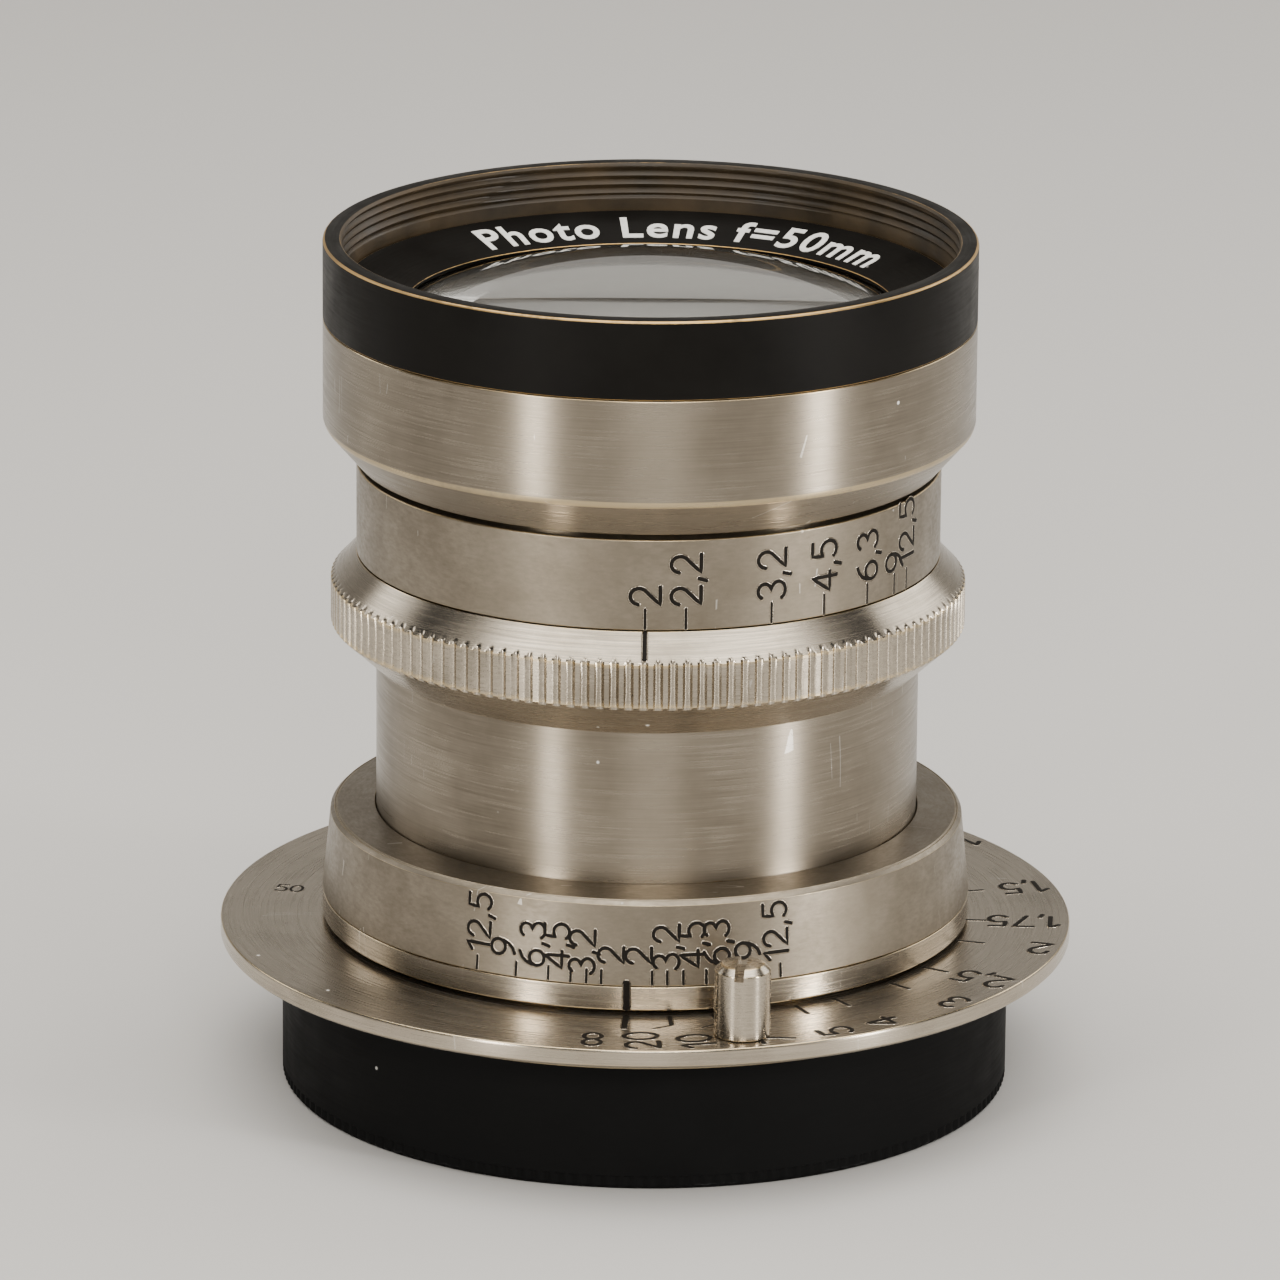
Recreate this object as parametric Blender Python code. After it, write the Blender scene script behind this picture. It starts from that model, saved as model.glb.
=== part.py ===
# A rigid 50 mm f/2 camera lens for a 39 mm screw mount, with its screw-on rear cap.
# +Z is the optical axis towards the front, and the origin is the centre of the cap's underside.
# Heights and radii are in millimetres, and MM turns them into metres.
import math

import bmesh
import bpy

MM = 0.001

# Driving dimensions
THREAD_RADIUS = 19.46
RIM_RADIUS = 18.0
DISC_RADIUS = 23.75
COLLAR_RADIUS = 18.05
COLLAR_TOP_RADIUS = 17.6
BARREL_RADIUS = 15.05
SCALE_SLEEVE_RADIUS = 16.15
KNURL_RADIUS = 17.57
CAP_RADIUS = 20.3
FRONT_GLASS_RADIUS = 13.5
STOP_RADIUS = 9.2

# Heights of the visible joints, from the rear cap's underside to the front rim
CAP_TOP = 7.3
SEAT = 7.45
SHOULDER_TOP = 8.07
DISC_BOTTOM = 8.17
DISC_TOP = 9.2
BAND_BOTTOM = 9.5
BAND_TOP = 10.85
COLLAR_EDGE = 15.56
COLLAR_TOP = 15.76
RING_BOTTOM = 24.4
KNURL_BOTTOM = 26.5
KNURL_TOP = 28.9
RING_TOP = 30.38
SLEEVE_TOP = 35.5
HEAD_BOTTOM = 35.8
HEAD_EDGE = 37.9
HEAD_TOP = 43.7
RIM_TOP = 48.1

# Fits
SEAM = 0.05
RUNNING = 0.1
FITTED = 0.06

# Inner bores and seats
HUB_RADIUS = 17.8
HELICOID_RADIUS = 16.3
MOUNT_COUNTERBORE = 18.7
BARREL_BORE = 14.3
BARREL_FRONT_BORE = 14.5
FRONT_DOUBLET_RADIUS = 11.4
REAR_GLASS_RADIUS = 10.6
CLEAR_RADIUS = 9.0

# Iris: six blades, each with a fixed pivot above and a drive pin in a slot of the cam ring below
BLADES = 6
APERTURE_SWEEP = math.radians(61.0)
BLADE_RATIO = 0.56
PIVOT_RADIUS = 13.2
DRIVE_ANGLE = math.radians(13.0)
BLADE_OUTER = 12.1
BLADE_END = math.radians(121.0)
PIN_RADIUS = 0.38
PIN_CLEARANCE = 0.08
EAR_RADIUS = 0.8
BLADE_THICKNESS = 0.13
BLADE_PITCH = 0.21
CAM_BOTTOM = 27.0
CAM_TOP = 28.0
FIRST_BLADE = 28.1
BASE_BOTTOM = 29.45
BASE_TOP = 30.05

# Sides of the turned pieces
OUTER_SIDES = 40
INNER_SIDES = 28
PIN_SIDES = 12

# Colours (linear), roughness and metallic value
NICKEL = ("nickel", (0.56, 0.52, 0.45), 0.28, 1.0)
SATIN_NICKEL = ("satin_nickel", (0.5, 0.47, 0.41), 0.42, 1.0)
BLACK_LACQUER = ("black_lacquer", (0.015, 0.014, 0.013), 0.3, 0.0)
CAP_BLACK = ("cap_black", (0.012, 0.012, 0.012), 0.55, 0.0)
BRASS = ("brass", (0.6, 0.43, 0.17), 0.35, 1.0)
INNER_BLACK = ("inner_black", (0.02, 0.02, 0.02), 0.7, 0.0)
BLADE_STEEL = ("blade_steel", (0.05, 0.05, 0.055), 0.45, 1.0)
GLASS = ("glass", (0.85, 0.88, 0.87), 0.02, 0.0)
SCREW_STEEL = ("screw_steel", (0.42, 0.4, 0.36), 0.35, 1.0)


def clear_scene():
    for old in list(bpy.data.objects):
        bpy.data.objects.remove(old, do_unlink=True)


def finish_material(finish):
    name, colour, roughness, metallic = finish
    material = bpy.data.materials.get(name)
    if material is None:
        material = bpy.data.materials.new(name)
        material.use_nodes = True
        shader = material.node_tree.nodes["Principled BSDF"]
        shader.inputs["Base Color"].default_value = (*colour, 1.0)
        shader.inputs["Roughness"].default_value = roughness
        shader.inputs["Metallic"].default_value = metallic
    return material


def joint_empty(name, parent=None, location=(0.0, 0.0, 0.0)):
    empty = bpy.data.objects.new(name, None)
    empty.empty_display_size = 5 * MM
    empty.location = location
    empty.parent = parent
    bpy.context.scene.collection.objects.link(empty)
    return empty


def mesh_object(name, bm, finish=None, parent=None):
    bmesh.ops.recalc_face_normals(bm, faces=bm.faces)
    mesh = bpy.data.meshes.new(name)
    bm.to_mesh(mesh)
    bm.free()
    mesh.shade_smooth()
    mesh.set_sharp_from_angle(angle=math.radians(35))
    item = bpy.data.objects.new(name, mesh)
    item.parent = parent
    bpy.context.scene.collection.objects.link(item)
    if finish:
        mesh.materials.append(finish_material(finish))
    return item


def turned(name, profile, finish=None, parent=None, sides=INNER_SIDES):
    """A turned solid. The profile is (radius, height) points, a closed ring or axis to axis."""
    bm = bmesh.new()
    verts = [bm.verts.new((radius * MM, 0.0, height * MM)) for radius, height in profile]
    edges = [bm.edges.new(pair) for pair in zip(verts, verts[1:])]
    if profile[0][0] > 0.0:
        edges.append(bm.edges.new((verts[-1], verts[0])))
    bmesh.ops.spin(bm, geom=verts + edges, cent=(0, 0, 0), axis=(0, 0, 1), angle=2 * math.pi,
                   steps=sides, use_merge=True)
    bmesh.ops.remove_doubles(bm, verts=bm.verts, dist=0.0001 * MM)
    return mesh_object(name, bm, finish, parent)


def ring(name, inner, outer, bottom, top, finish, parent, sides=INNER_SIDES):
    profile = [(outer, top), (outer, bottom), (inner, bottom), (inner, top)]
    return turned(name, profile, finish, parent, sides)


def prism(name, outline, bottom, top, finish=None, parent=None):
    """An outline of (x, y) points, extruded from one height to another."""
    bm = bmesh.new()
    face = bm.faces.new([bm.verts.new((x * MM, y * MM, bottom * MM)) for x, y in outline])
    lifted = bmesh.ops.extrude_face_region(bm, geom=[face])["geom"]
    moved = [item for item in lifted if isinstance(item, bmesh.types.BMVert)]
    bmesh.ops.translate(bm, verts=moved, vec=(0, 0, (top - bottom) * MM))
    return mesh_object(name, bm, finish, parent)


def polar(radius, angle):
    return (radius * math.cos(angle), radius * math.sin(angle))


def arc(centre, radius, start, end, steps):
    points = []
    for step in range(steps + 1):
        x, y = polar(radius, start + (end - start) * step / steps)
        points.append((centre[0] + x, centre[1] + y))
    return points


def pin(name, centre, radius, bottom, top, sides=PIN_SIDES):
    outline = arc(centre, radius, 0.0, 2 * math.pi, sides)[:-1]
    return prism(name, outline, bottom, top)


def block(name, low, high):
    outline = [(low[0], low[1]), (high[0], low[1]), (high[0], high[1]), (low[0], high[1])]
    return prism(name, outline, low[2], high[2])


def combine(target, tool, operation):
    """Cut a hidden tool from the target (DIFFERENCE) or weld it on (UNION)."""
    tool.hide_render = True
    tool.display_type = "WIRE"
    tool.parent = target.parent
    boolean = target.modifiers.new(tool.name, "BOOLEAN")
    boolean.operation = operation
    boolean.solver = "EXACT"
    boolean.object = tool


def face_height(vertex, bend, radius):
    """Height of a spherical face. A positive bend is domed towards +Z, and 0 is flat."""
    if bend == 0.0:
        return vertex
    return vertex - math.copysign(abs(bend) - math.sqrt(bend ** 2 - radius ** 2), bend)


def glass_face(vertex, bend, clear, edge):
    """Points from the axis to the edge, flat outside the clear radius."""
    if bend == 0.0:
        return [(0.0, vertex), (edge, vertex)]
    steps = 4
    points = []
    for step in range(steps + 1):
        radius = clear * step / steps
        points.append((radius, face_height(vertex, bend, radius)))
    if edge > clear:
        points.append((edge, points[-1][1]))
    return points


def glass_element(name, edge, front, back, parent):
    """front and back are (vertex height, bend, clear radius)."""
    profile = glass_face(*front, edge) + glass_face(*back, edge)[::-1]
    return turned(name, profile, GLASS, parent)


def make_rear_cap(parent):
    floor = 1.0
    bevel = 0.6
    bore = THREAD_RADIUS + RUNNING
    profile = [(0.0, 0.0), (CAP_RADIUS - bevel, 0.0), (CAP_RADIUS, bevel), (CAP_RADIUS, CAP_TOP),
               (bore, CAP_TOP), (bore, floor), (0.0, floor)]
    turned("rear_cap", profile, CAP_BLACK, parent, OUTER_SIDES)


def make_mount(parent):
    shoulder_radius = 21.8
    undercut_radius = 19.1
    undercut_bottom = 6.9
    seat_inner = CAP_RADIUS + 0.06
    seat_relief = 0.1
    thread_chamfer = 0.3
    tube_bottom = 3.0
    ledge = 6.2
    bore = HUB_RADIUS + RUNNING
    profile = [(shoulder_radius, SHOULDER_TOP), (shoulder_radius, SEAT), (seat_inner, SEAT),
               (seat_inner, SEAT + seat_relief), (undercut_radius, SEAT + seat_relief),
               (undercut_radius, undercut_bottom), (THREAD_RADIUS, undercut_bottom - thread_chamfer),
               (THREAD_RADIUS, tube_bottom + thread_chamfer), (THREAD_RADIUS - thread_chamfer, tube_bottom),
               (MOUNT_COUNTERBORE, tube_bottom), (MOUNT_COUNTERBORE, ledge), (bore, ledge),
               (bore, SHOULDER_TOP)]
    turned("mount_ring", profile, NICKEL, parent, OUTER_SIDES)

    ring_bottom = 3.3
    ring_top = 4.3
    key_top = 7.6
    key_half = 1.5
    key_inner = BARREL_RADIUS + 0.25
    key_outer = HELICOID_RADIUS - 0.1
    inner = HELICOID_RADIUS + 0.12
    guide = ring("guide_ring", inner, MOUNT_COUNTERBORE - 0.08, ring_bottom, ring_top, BRASS, parent,
                 OUTER_SIDES)
    foot = block("guide_key_foot", (key_inner, -key_half, ring_bottom + 0.01),
                 (inner + 0.8, key_half, ring_top - 0.01))
    key = block("guide_key", (key_inner, -key_half, ring_bottom + 0.3), (key_outer, key_half, key_top))
    combine(guide, foot, "UNION")
    combine(guide, key, "UNION")


def make_focus(parent):
    bevel = 0.2
    hub_step = 6.15
    hub_bottom = 4.9
    neck_radius = 17.2
    bore = HELICOID_RADIUS + RUNNING
    profile = [(bore, DISC_TOP), (DISC_RADIUS - bevel, DISC_TOP), (DISC_RADIUS, DISC_TOP - bevel),
               (DISC_RADIUS, DISC_BOTTOM + bevel), (DISC_RADIUS - bevel, DISC_BOTTOM),
               (HUB_RADIUS, DISC_BOTTOM), (HUB_RADIUS, hub_step), (neck_radius, hub_step),
               (neck_radius, hub_bottom), (bore, hub_bottom)]
    disc = turned("focus_disc", profile, NICKEL, parent, OUTER_SIDES)
    ring("disc_retaining_ring", neck_radius + 0.08, MOUNT_COUNTERBORE - RUNNING, 5.3, 6.1, BRASS, parent,
         OUTER_SIDES)

    peg_centre_radius = 21.5
    peg_angle = math.radians(14.2)
    peg_radius = 1.53
    shank_radius = 0.8
    shank_bottom = 8.35
    peg_edge = 12.85
    peg_top = 13.4
    dome_radius = 1.1
    slot_half = 0.28
    slot_bottom = 12.7
    place = (peg_centre_radius * math.sin(peg_angle) * MM, -peg_centre_radius * math.cos(peg_angle) * MM, 0.0)
    profile = [(0.0, peg_top), (dome_radius, peg_top - 0.12), (peg_radius, peg_edge),
               (peg_radius, DISC_TOP + SEAM), (shank_radius, DISC_TOP + SEAM), (shank_radius, shank_bottom),
               (0.0, shank_bottom)]
    peg = turned("focus_peg", profile, NICKEL, parent, 16)
    peg.location = place
    slot = block("peg_slot", (-slot_half, -2.0, slot_bottom), (slot_half, 2.0, peg_top + 1.0))
    combine(peg, slot, "DIFFERENCE")
    slot.location = place
    hole = pin("peg_hole", (0.0, 0.0), shank_radius + 0.07, DISC_BOTTOM - 0.5, DISC_TOP + 0.5, 16)
    combine(disc, hole, "DIFFERENCE")
    hole.location = place


def make_collar(parent):
    sleeve_bottom = 2.2
    sleeve_top = 15.05
    rib_bottom = 3.0
    rib_top = 3.8
    rib_radius = 14.0
    sleeve_bore = BARREL_RADIUS + 0.07
    profile = [(HELICOID_RADIUS, sleeve_top), (HELICOID_RADIUS, sleeve_bottom), (sleeve_bore, sleeve_bottom),
               (sleeve_bore, rib_bottom), (rib_radius, rib_bottom), (rib_radius, rib_top),
               (sleeve_bore, rib_top), (sleeve_bore, sleeve_top)]
    sleeve = turned("helicoid_sleeve", profile, BRASS, parent, OUTER_SIDES)
    key_slot = block("key_slot", (14.6, -1.6, sleeve_bottom - 0.5), (17.5, 1.6, 8.0))
    combine(sleeve, key_slot, "DIFFERENCE")

    collar_bore = HELICOID_RADIUS + 0.08
    ring("index_band", collar_bore, COLLAR_RADIUS, BAND_BOTTOM, BAND_TOP, NICKEL, parent, OUTER_SIDES)
    chamfer = 0.25
    under = sleeve_top + 0.1
    profile = [(COLLAR_RADIUS, BAND_TOP + SEAM), (collar_bore, BAND_TOP + SEAM), (collar_bore, under),
               (sleeve_bore, under), (sleeve_bore, COLLAR_TOP), (COLLAR_TOP_RADIUS - chamfer, COLLAR_EDGE),
               (COLLAR_TOP_RADIUS, COLLAR_EDGE - chamfer)]
    turned("depth_scale_ring", profile, SATIN_NICKEL, parent, OUTER_SIDES)

    neck_top = 5.0
    flange_top = rib_bottom - 0.08
    flange_radius = 15.0
    neck_radius = rib_radius - 0.08
    lock_bore = 13.2
    profile = [(flange_radius, flange_top), (flange_radius, sleeve_bottom + 0.1),
               (lock_bore, sleeve_bottom + 0.1), (lock_bore, neck_top), (neck_radius, neck_top),
               (neck_radius, flange_top)]
    turned("barrel_lock_ring", profile, INNER_BLACK, parent, OUTER_SIDES)


def make_barrel(parent):
    bottom = 3.9
    top = 36.6
    ledge_radius = 13.6
    ledge_bottom = 26.1
    ledge_top = 26.9
    step = BASE_BOTTOM - SEAM
    profile = [(BARREL_RADIUS, top), (BARREL_RADIUS, bottom), (BARREL_BORE, bottom),
               (BARREL_BORE, ledge_bottom), (ledge_radius, ledge_bottom), (ledge_radius, ledge_top),
               (BARREL_BORE, ledge_top), (BARREL_BORE, step), (BARREL_FRONT_BORE, step),
               (BARREL_FRONT_BORE, top)]
    barrel = turned("barrel", profile, NICKEL, parent, OUTER_SIDES)
    start = math.radians(86.5)
    end = math.radians(93.5) + APERTURE_SWEEP
    outline = arc((0, 0), BARREL_RADIUS + 1.0, start, end, 8) + arc((0, 0), BARREL_BORE - 0.4, end, start, 8)
    combine(barrel, prism("drive_slot", outline, ledge_top + 0.02, CAM_TOP + 0.08), "DIFFERENCE")
    ring("aperture_scale_sleeve", BARREL_RADIUS + FITTED, SCALE_SLEEVE_RADIUS, RING_TOP + 0.08, SLEEVE_TOP,
         SATIN_NICKEL, parent, OUTER_SIDES)


def make_head(parent):
    collar = BARREL_RADIUS + FITTED
    seat = 36.7
    seat_radius = 16.0
    seat_top = 37.5
    bore = 16.9
    bore_bottom = 38.4
    profile = [(RIM_RADIUS, HEAD_TOP), (RIM_RADIUS, HEAD_EDGE), (SCALE_SLEEVE_RADIUS, HEAD_BOTTOM),
               (collar, HEAD_BOTTOM), (collar, seat), (seat_radius, seat), (seat_radius, seat_top),
               (bore, bore_bottom), (bore, HEAD_TOP)]
    turned("head_shell", profile, NICKEL, parent, OUTER_SIDES)

    land = 1.05
    bevel = 0.15
    rim_bottom = HEAD_TOP + SEAM
    ledge = 44.5
    spigot_radius = bore - 0.08
    spigot_bore = 15.3
    spigot_bottom = 41.9
    rim_bore = RIM_RADIUS - land
    profile = [(rim_bore, RIM_TOP), (RIM_RADIUS - bevel, RIM_TOP), (RIM_RADIUS, RIM_TOP - bevel),
               (RIM_RADIUS, rim_bottom), (spigot_radius, rim_bottom), (spigot_radius, spigot_bottom),
               (spigot_bore, spigot_bottom), (spigot_bore, ledge - 0.3), (rim_bore, ledge)]
    turned("front_rim", profile, BLACK_LACQUER, parent, OUTER_SIDES)

    outer = rim_bore - 0.1
    profile = [(outer, 45.4), (outer, ledge + 0.1), (FRONT_GLASS_RADIUS, 44.12), (FRONT_GLASS_RADIUS, 44.3)]
    turned("name_ring", profile, BLACK_LACQUER, parent, OUTER_SIDES)


def make_front_optics(parent):
    front_radius = FRONT_GLASS_RADIUS + 0.5
    glass_element("front_element", front_radius, (46.5, 38.0, front_radius), (42.3, 120.0, front_radius), parent)
    glass_element("second_element", FRONT_DOUBLET_RADIUS, (41.7, 21.0, FRONT_DOUBLET_RADIUS),
                  (35.6, 0.0, FRONT_DOUBLET_RADIUS), parent)
    glass_element("third_element", FRONT_DOUBLET_RADIUS, (35.6 - SEAM, 0.0, FRONT_DOUBLET_RADIUS),
                  (33.93, 14.5, CLEAR_RADIUS), parent)
    ring("doublet_retaining_ring", 10.4, FRONT_DOUBLET_RADIUS, 39.05, 41.0, INNER_BLACK, parent)

    lip_radius = 9.3
    lip_bottom = BASE_TOP + 0.1
    lip_top = 30.7
    bore = FRONT_DOUBLET_RADIUS + FITTED
    seat = 41.4
    cup = front_radius + FITTED
    top = 43.9
    cup_radius = 14.9
    flange_bottom = 36.78
    flange_top = 37.4
    flange_radius = 15.9
    body_radius = BARREL_FRONT_BORE - 0.08
    profile = [(cup_radius, top), (cup_radius, flange_top), (flange_radius, flange_top),
               (flange_radius, flange_bottom), (body_radius, flange_bottom), (body_radius, lip_bottom),
               (lip_radius, lip_bottom), (lip_radius, lip_top), (bore, lip_top), (bore, seat), (cup, seat),
               (cup, top)]
    turned("front_cell", profile, INNER_BLACK, parent)


def make_rear_optics(parent):
    joint = 21.8
    glass_element("fourth_element", REAR_GLASS_RADIUS, (23.32, -15.5, CLEAR_RADIUS),
                  (joint, 0.0, REAR_GLASS_RADIUS), parent)
    glass_element("fifth_element", REAR_GLASS_RADIUS, (joint - SEAM, 0.0, REAR_GLASS_RADIUS),
                  (16.52, -23.0, REAR_GLASS_RADIUS), parent)
    glass_element("rear_element", REAR_GLASS_RADIUS, (16.1, 60.0, REAR_GLASS_RADIUS),
                  (12.3, -30.0, REAR_GLASS_RADIUS), parent)
    ring("rear_spacer", 9.9, REAR_GLASS_RADIUS, 15.36, 18.68, INNER_BLACK, parent)
    ring("rear_lens_ring", 9.9, REAR_GLASS_RADIUS, 12.3, 13.9, INNER_BLACK, parent)

    bore = REAR_GLASS_RADIUS + FITTED
    outer = 11.6
    lip_radius = 9.1
    lip_bottom = 26.28
    top = 26.8
    bottom = 12.0
    flange_radius = BARREL_BORE - 0.1
    flange_top = 26.0
    flange_bottom = 25.0
    profile = [(outer, top), (outer, flange_top), (flange_radius, flange_top), (flange_radius, flange_bottom),
               (outer, flange_bottom), (outer, bottom), (bore, bottom), (bore, lip_bottom),
               (lip_radius, lip_bottom), (lip_radius, top)]
    turned("rear_cell", profile, INNER_BLACK, parent)
    ring("rear_cell_ring", 12.6, flange_radius, 23.9, 24.9, INNER_BLACK, parent)


def iris_drive_pin(turn):
    """Centre of a drive pin after its blade has turned about the pivot at (PIVOT_RADIUS, 0)."""
    rest = polar(PIVOT_RADIUS, DRIVE_ANGLE)
    arm = (rest[0] - PIVOT_RADIUS, rest[1])
    x = arm[0] * math.cos(turn) - arm[1] * math.sin(turn)
    y = arm[0] * math.sin(turn) + arm[1] * math.cos(turn)
    return (PIVOT_RADIUS + x, y)


def cam_slot_point(cam_turn):
    """The same pin centre as the cam ring sees it."""
    x, y = iris_drive_pin(cam_turn * BLADE_RATIO)
    angle = math.atan2(y, x) - cam_turn
    return polar(math.hypot(x, y), angle)


def cam_slot_outline(shift):
    """A slot of even width along the path of a drive pin, with rounded ends."""
    half = PIN_RADIUS + PIN_CLEARANCE
    margin = math.radians(0.8)
    steps = 10
    near = []
    far = []
    for step in range(steps + 1):
        turn = -margin + (APERTURE_SWEEP + 2 * margin) * step / steps
        x, y = cam_slot_point(turn)
        ahead_x, ahead_y = cam_slot_point(turn + 0.001)
        heading = math.atan2(ahead_y - y, ahead_x - x)
        near.append((x + half * math.sin(heading), y - half * math.cos(heading)))
        far.append((x - half * math.sin(heading), y + half * math.cos(heading)))
        if step == 0:
            start_cap = arc((x, y), half, heading + math.pi / 2, heading + 3 * math.pi / 2, 4)[1:-1]
        if step == steps:
            end_cap = arc((x, y), half, heading - math.pi / 2, heading + math.pi / 2, 4)[1:-1]
    outline = near + end_cap + far[::-1] + start_cap
    turned_outline = []
    for x, y in outline:
        turned_outline.append(polar(math.hypot(x, y), math.atan2(y, x) + shift))
    return turned_outline


def blade_outline():
    """A crescent with an ear for its two pins, pivot at (PIVOT_RADIUS, 0), moved to the origin."""
    drive = iris_drive_pin(0.0)
    strip_start = DRIVE_ANGLE + math.radians(6.0)
    quarter = math.pi / 2
    outline = arc((PIVOT_RADIUS, 0.0), EAR_RADIUS, -1.4 * quarter, 0.0, 4)
    outline += arc((0, 0), PIVOT_RADIUS + EAR_RADIUS, 0.0, DRIVE_ANGLE, 2)[1:-1]
    outline += arc(drive, EAR_RADIUS, DRIVE_ANGLE, DRIVE_ANGLE + quarter, 3)
    outline += arc((0, 0), BLADE_OUTER, strip_start, BLADE_END, 9)
    outline += [polar((BLADE_OUTER + STOP_RADIUS) / 2, BLADE_END + math.radians(4.0))]
    outline += arc((0, 0), STOP_RADIUS, BLADE_END, 0.0, 11)
    return [(x - PIVOT_RADIUS, y) for x, y in outline]


def make_iris(lens, aperture):
    inner = STOP_RADIUS + 0.2
    base = ring("iris_base", inner, BARREL_FRONT_BORE - 0.08, BASE_BOTTOM, BASE_TOP, INNER_BLACK, lens)
    cam = ring("iris_cam_ring", inner, BARREL_BORE - RUNNING, CAM_BOTTOM, CAM_TOP, BRASS, aperture, OUTER_SIDES)
    notch = block("cam_notch", (-0.48, 12.85, CAM_BOTTOM - 0.5), (0.48, 15.0, CAM_TOP + 0.5))
    combine(cam, notch, "DIFFERENCE")
    for index in range(BLADES):
        shift = index * 2 * math.pi / BLADES
        x, y = polar(PIVOT_RADIUS, shift)
        number = str(index + 1)
        hole = pin("pivot_hole_" + number, (x, y), PIN_RADIUS + PIN_CLEARANCE, BASE_BOTTOM - 0.5, BASE_TOP + 0.5)
        combine(base, hole, "DIFFERENCE")
        slot = prism("cam_slot_" + number, cam_slot_outline(shift), CAM_BOTTOM - 0.5, CAM_TOP + 0.5)
        combine(cam, slot, "DIFFERENCE")

        bottom = FIRST_BLADE + index * BLADE_PITCH
        middle = BLADE_THICKNESS / 2
        pivot = joint_empty("blade_pivot_" + number, lens, (x * MM, y * MM, bottom * MM))
        pivot.rotation_euler = (0.0, 0.0, shift)
        blade = prism("iris_blade_" + number, blade_outline(), 0.0, BLADE_THICKNESS, BLADE_STEEL, pivot)
        pivot_pin = pin("pivot_pin_" + number, (0.0, 0.0), PIN_RADIUS, middle, BASE_TOP - 0.1 - bottom)
        drive = iris_drive_pin(0.0)
        drive_centre = (drive[0] - PIVOT_RADIUS, drive[1])
        drive_pin = pin("drive_pin_" + number, drive_centre, PIN_RADIUS, CAM_BOTTOM + 0.1 - bottom, middle)
        combine(blade, pivot_pin, "UNION")
        combine(blade, drive_pin, "UNION")


def screw_profile(start, shoulder, seat, head, tip_radius, shank_radius, head_radius):
    """A screw along the axis: tip, shank and head."""
    return [(0.0, start), (tip_radius, start), (tip_radius, shoulder), (shank_radius, shoulder),
            (shank_radius, seat), (head_radius, seat), (head_radius, head), (0.0, head)]


def make_aperture_ring(parent):
    bore = BARREL_RADIUS + 0.08
    lower_radius = BARREL_RADIUS + 0.2
    profile = [(SCALE_SLEEVE_RADIUS, RING_TOP), (KNURL_RADIUS, KNURL_TOP), (KNURL_RADIUS, KNURL_BOTTOM),
               (lower_radius, RING_BOTTOM), (bore, RING_BOTTOM), (bore, RING_TOP)]
    knurled = turned("aperture_ring", profile, NICKEL, parent, OUTER_SIDES)

    height = (CAM_BOTTOM + CAM_TOP) / 2
    towards_back = (math.radians(-90), 0.0, 0.0)
    screw = turned("aperture_drive_screw", screw_profile(12.95, 14.1, 16.6, 17.3, 0.4, 0.5, 0.95),
                   SCREW_STEEL, parent, PIN_SIDES)
    screw.location = (0.0, 0.0, height * MM)
    screw.rotation_euler = towards_back
    hole = turned("drive_screw_hole", screw_profile(13.0, 14.0, 16.55, 18.5, 0.48, 0.58, 1.03), None, None,
                  PIN_SIDES)
    combine(knurled, hole, "DIFFERENCE")
    hole.location = (0.0, 0.0, height * MM)
    hole.rotation_euler = towards_back


def main():
    clear_scene()
    mount = joint_empty("mount_axis")
    focus = joint_empty("focus_axis", mount)
    lens = joint_empty("lens_axis", mount)
    aperture = joint_empty("aperture_axis", lens)
    cap = joint_empty("cap_axis", mount)
    make_rear_cap(cap)
    make_mount(mount)
    make_focus(focus)
    make_collar(lens)
    make_barrel(lens)
    make_head(lens)
    make_front_optics(lens)
    make_rear_optics(lens)
    make_iris(lens, aperture)
    make_aperture_ring(aperture)


main()
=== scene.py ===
import math
from functools import partial

import bmesh
import bpy
from mathutils import Matrix, Vector


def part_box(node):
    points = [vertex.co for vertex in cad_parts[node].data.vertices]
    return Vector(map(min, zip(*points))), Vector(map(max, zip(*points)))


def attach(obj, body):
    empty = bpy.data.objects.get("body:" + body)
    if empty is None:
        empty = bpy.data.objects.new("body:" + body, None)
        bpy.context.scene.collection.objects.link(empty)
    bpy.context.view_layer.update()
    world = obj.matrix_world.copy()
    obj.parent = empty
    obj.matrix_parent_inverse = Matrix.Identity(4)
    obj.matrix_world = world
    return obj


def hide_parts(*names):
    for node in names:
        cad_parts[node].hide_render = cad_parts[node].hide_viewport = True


mm = 0.001
fullTurn = 2 * math.pi

print("loading the frame")
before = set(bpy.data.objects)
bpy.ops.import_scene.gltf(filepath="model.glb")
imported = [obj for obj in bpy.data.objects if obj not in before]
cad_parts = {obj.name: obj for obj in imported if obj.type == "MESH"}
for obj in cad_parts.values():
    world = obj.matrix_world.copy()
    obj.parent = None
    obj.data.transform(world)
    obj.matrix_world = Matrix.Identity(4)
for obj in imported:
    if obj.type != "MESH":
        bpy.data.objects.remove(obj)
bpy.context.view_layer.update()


def nodeSize(node):  # radius, bottom and top, in millimetres
    low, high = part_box(node)
    return high.x / mm, low.z / mm, high.z / mm


def boreOf(node):  # smallest radius of a turned CAD piece
    return min(math.hypot(v.co.x, v.co.y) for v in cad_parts[node].data.vertices) / mm


def aroundAxis(radius, degrees, height):  # degrees run from the front (-Y) towards +X
    turn = math.radians(degrees)
    return Vector((radius * math.sin(turn), -radius * math.cos(turn), height))


def addNode(tree, kind, inputs=None, **settings):
    node = tree.nodes.new(kind)
    for key, value in settings.items():
        setattr(node, key, value)
    for key, value in (inputs or {}).items():
        if isinstance(value, bpy.types.NodeSocket):
            tree.links.new(value, node.inputs[key])
        else:
            node.inputs[key].default_value = value
    return node


def mathNode(tree, operation, first, second=0.0, clamp=False):
    values = {0: first, 1: second}
    return addNode(tree, "ShaderNodeMath", values, operation=operation, use_clamp=clamp).outputs[0]


def addSockets(tree, inputs):
    for label, kind, value in inputs:
        socket = tree.interface.new_socket(label, in_out="INPUT", socket_type=kind)
        if value is not None:
            socket.default_value = value


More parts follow.
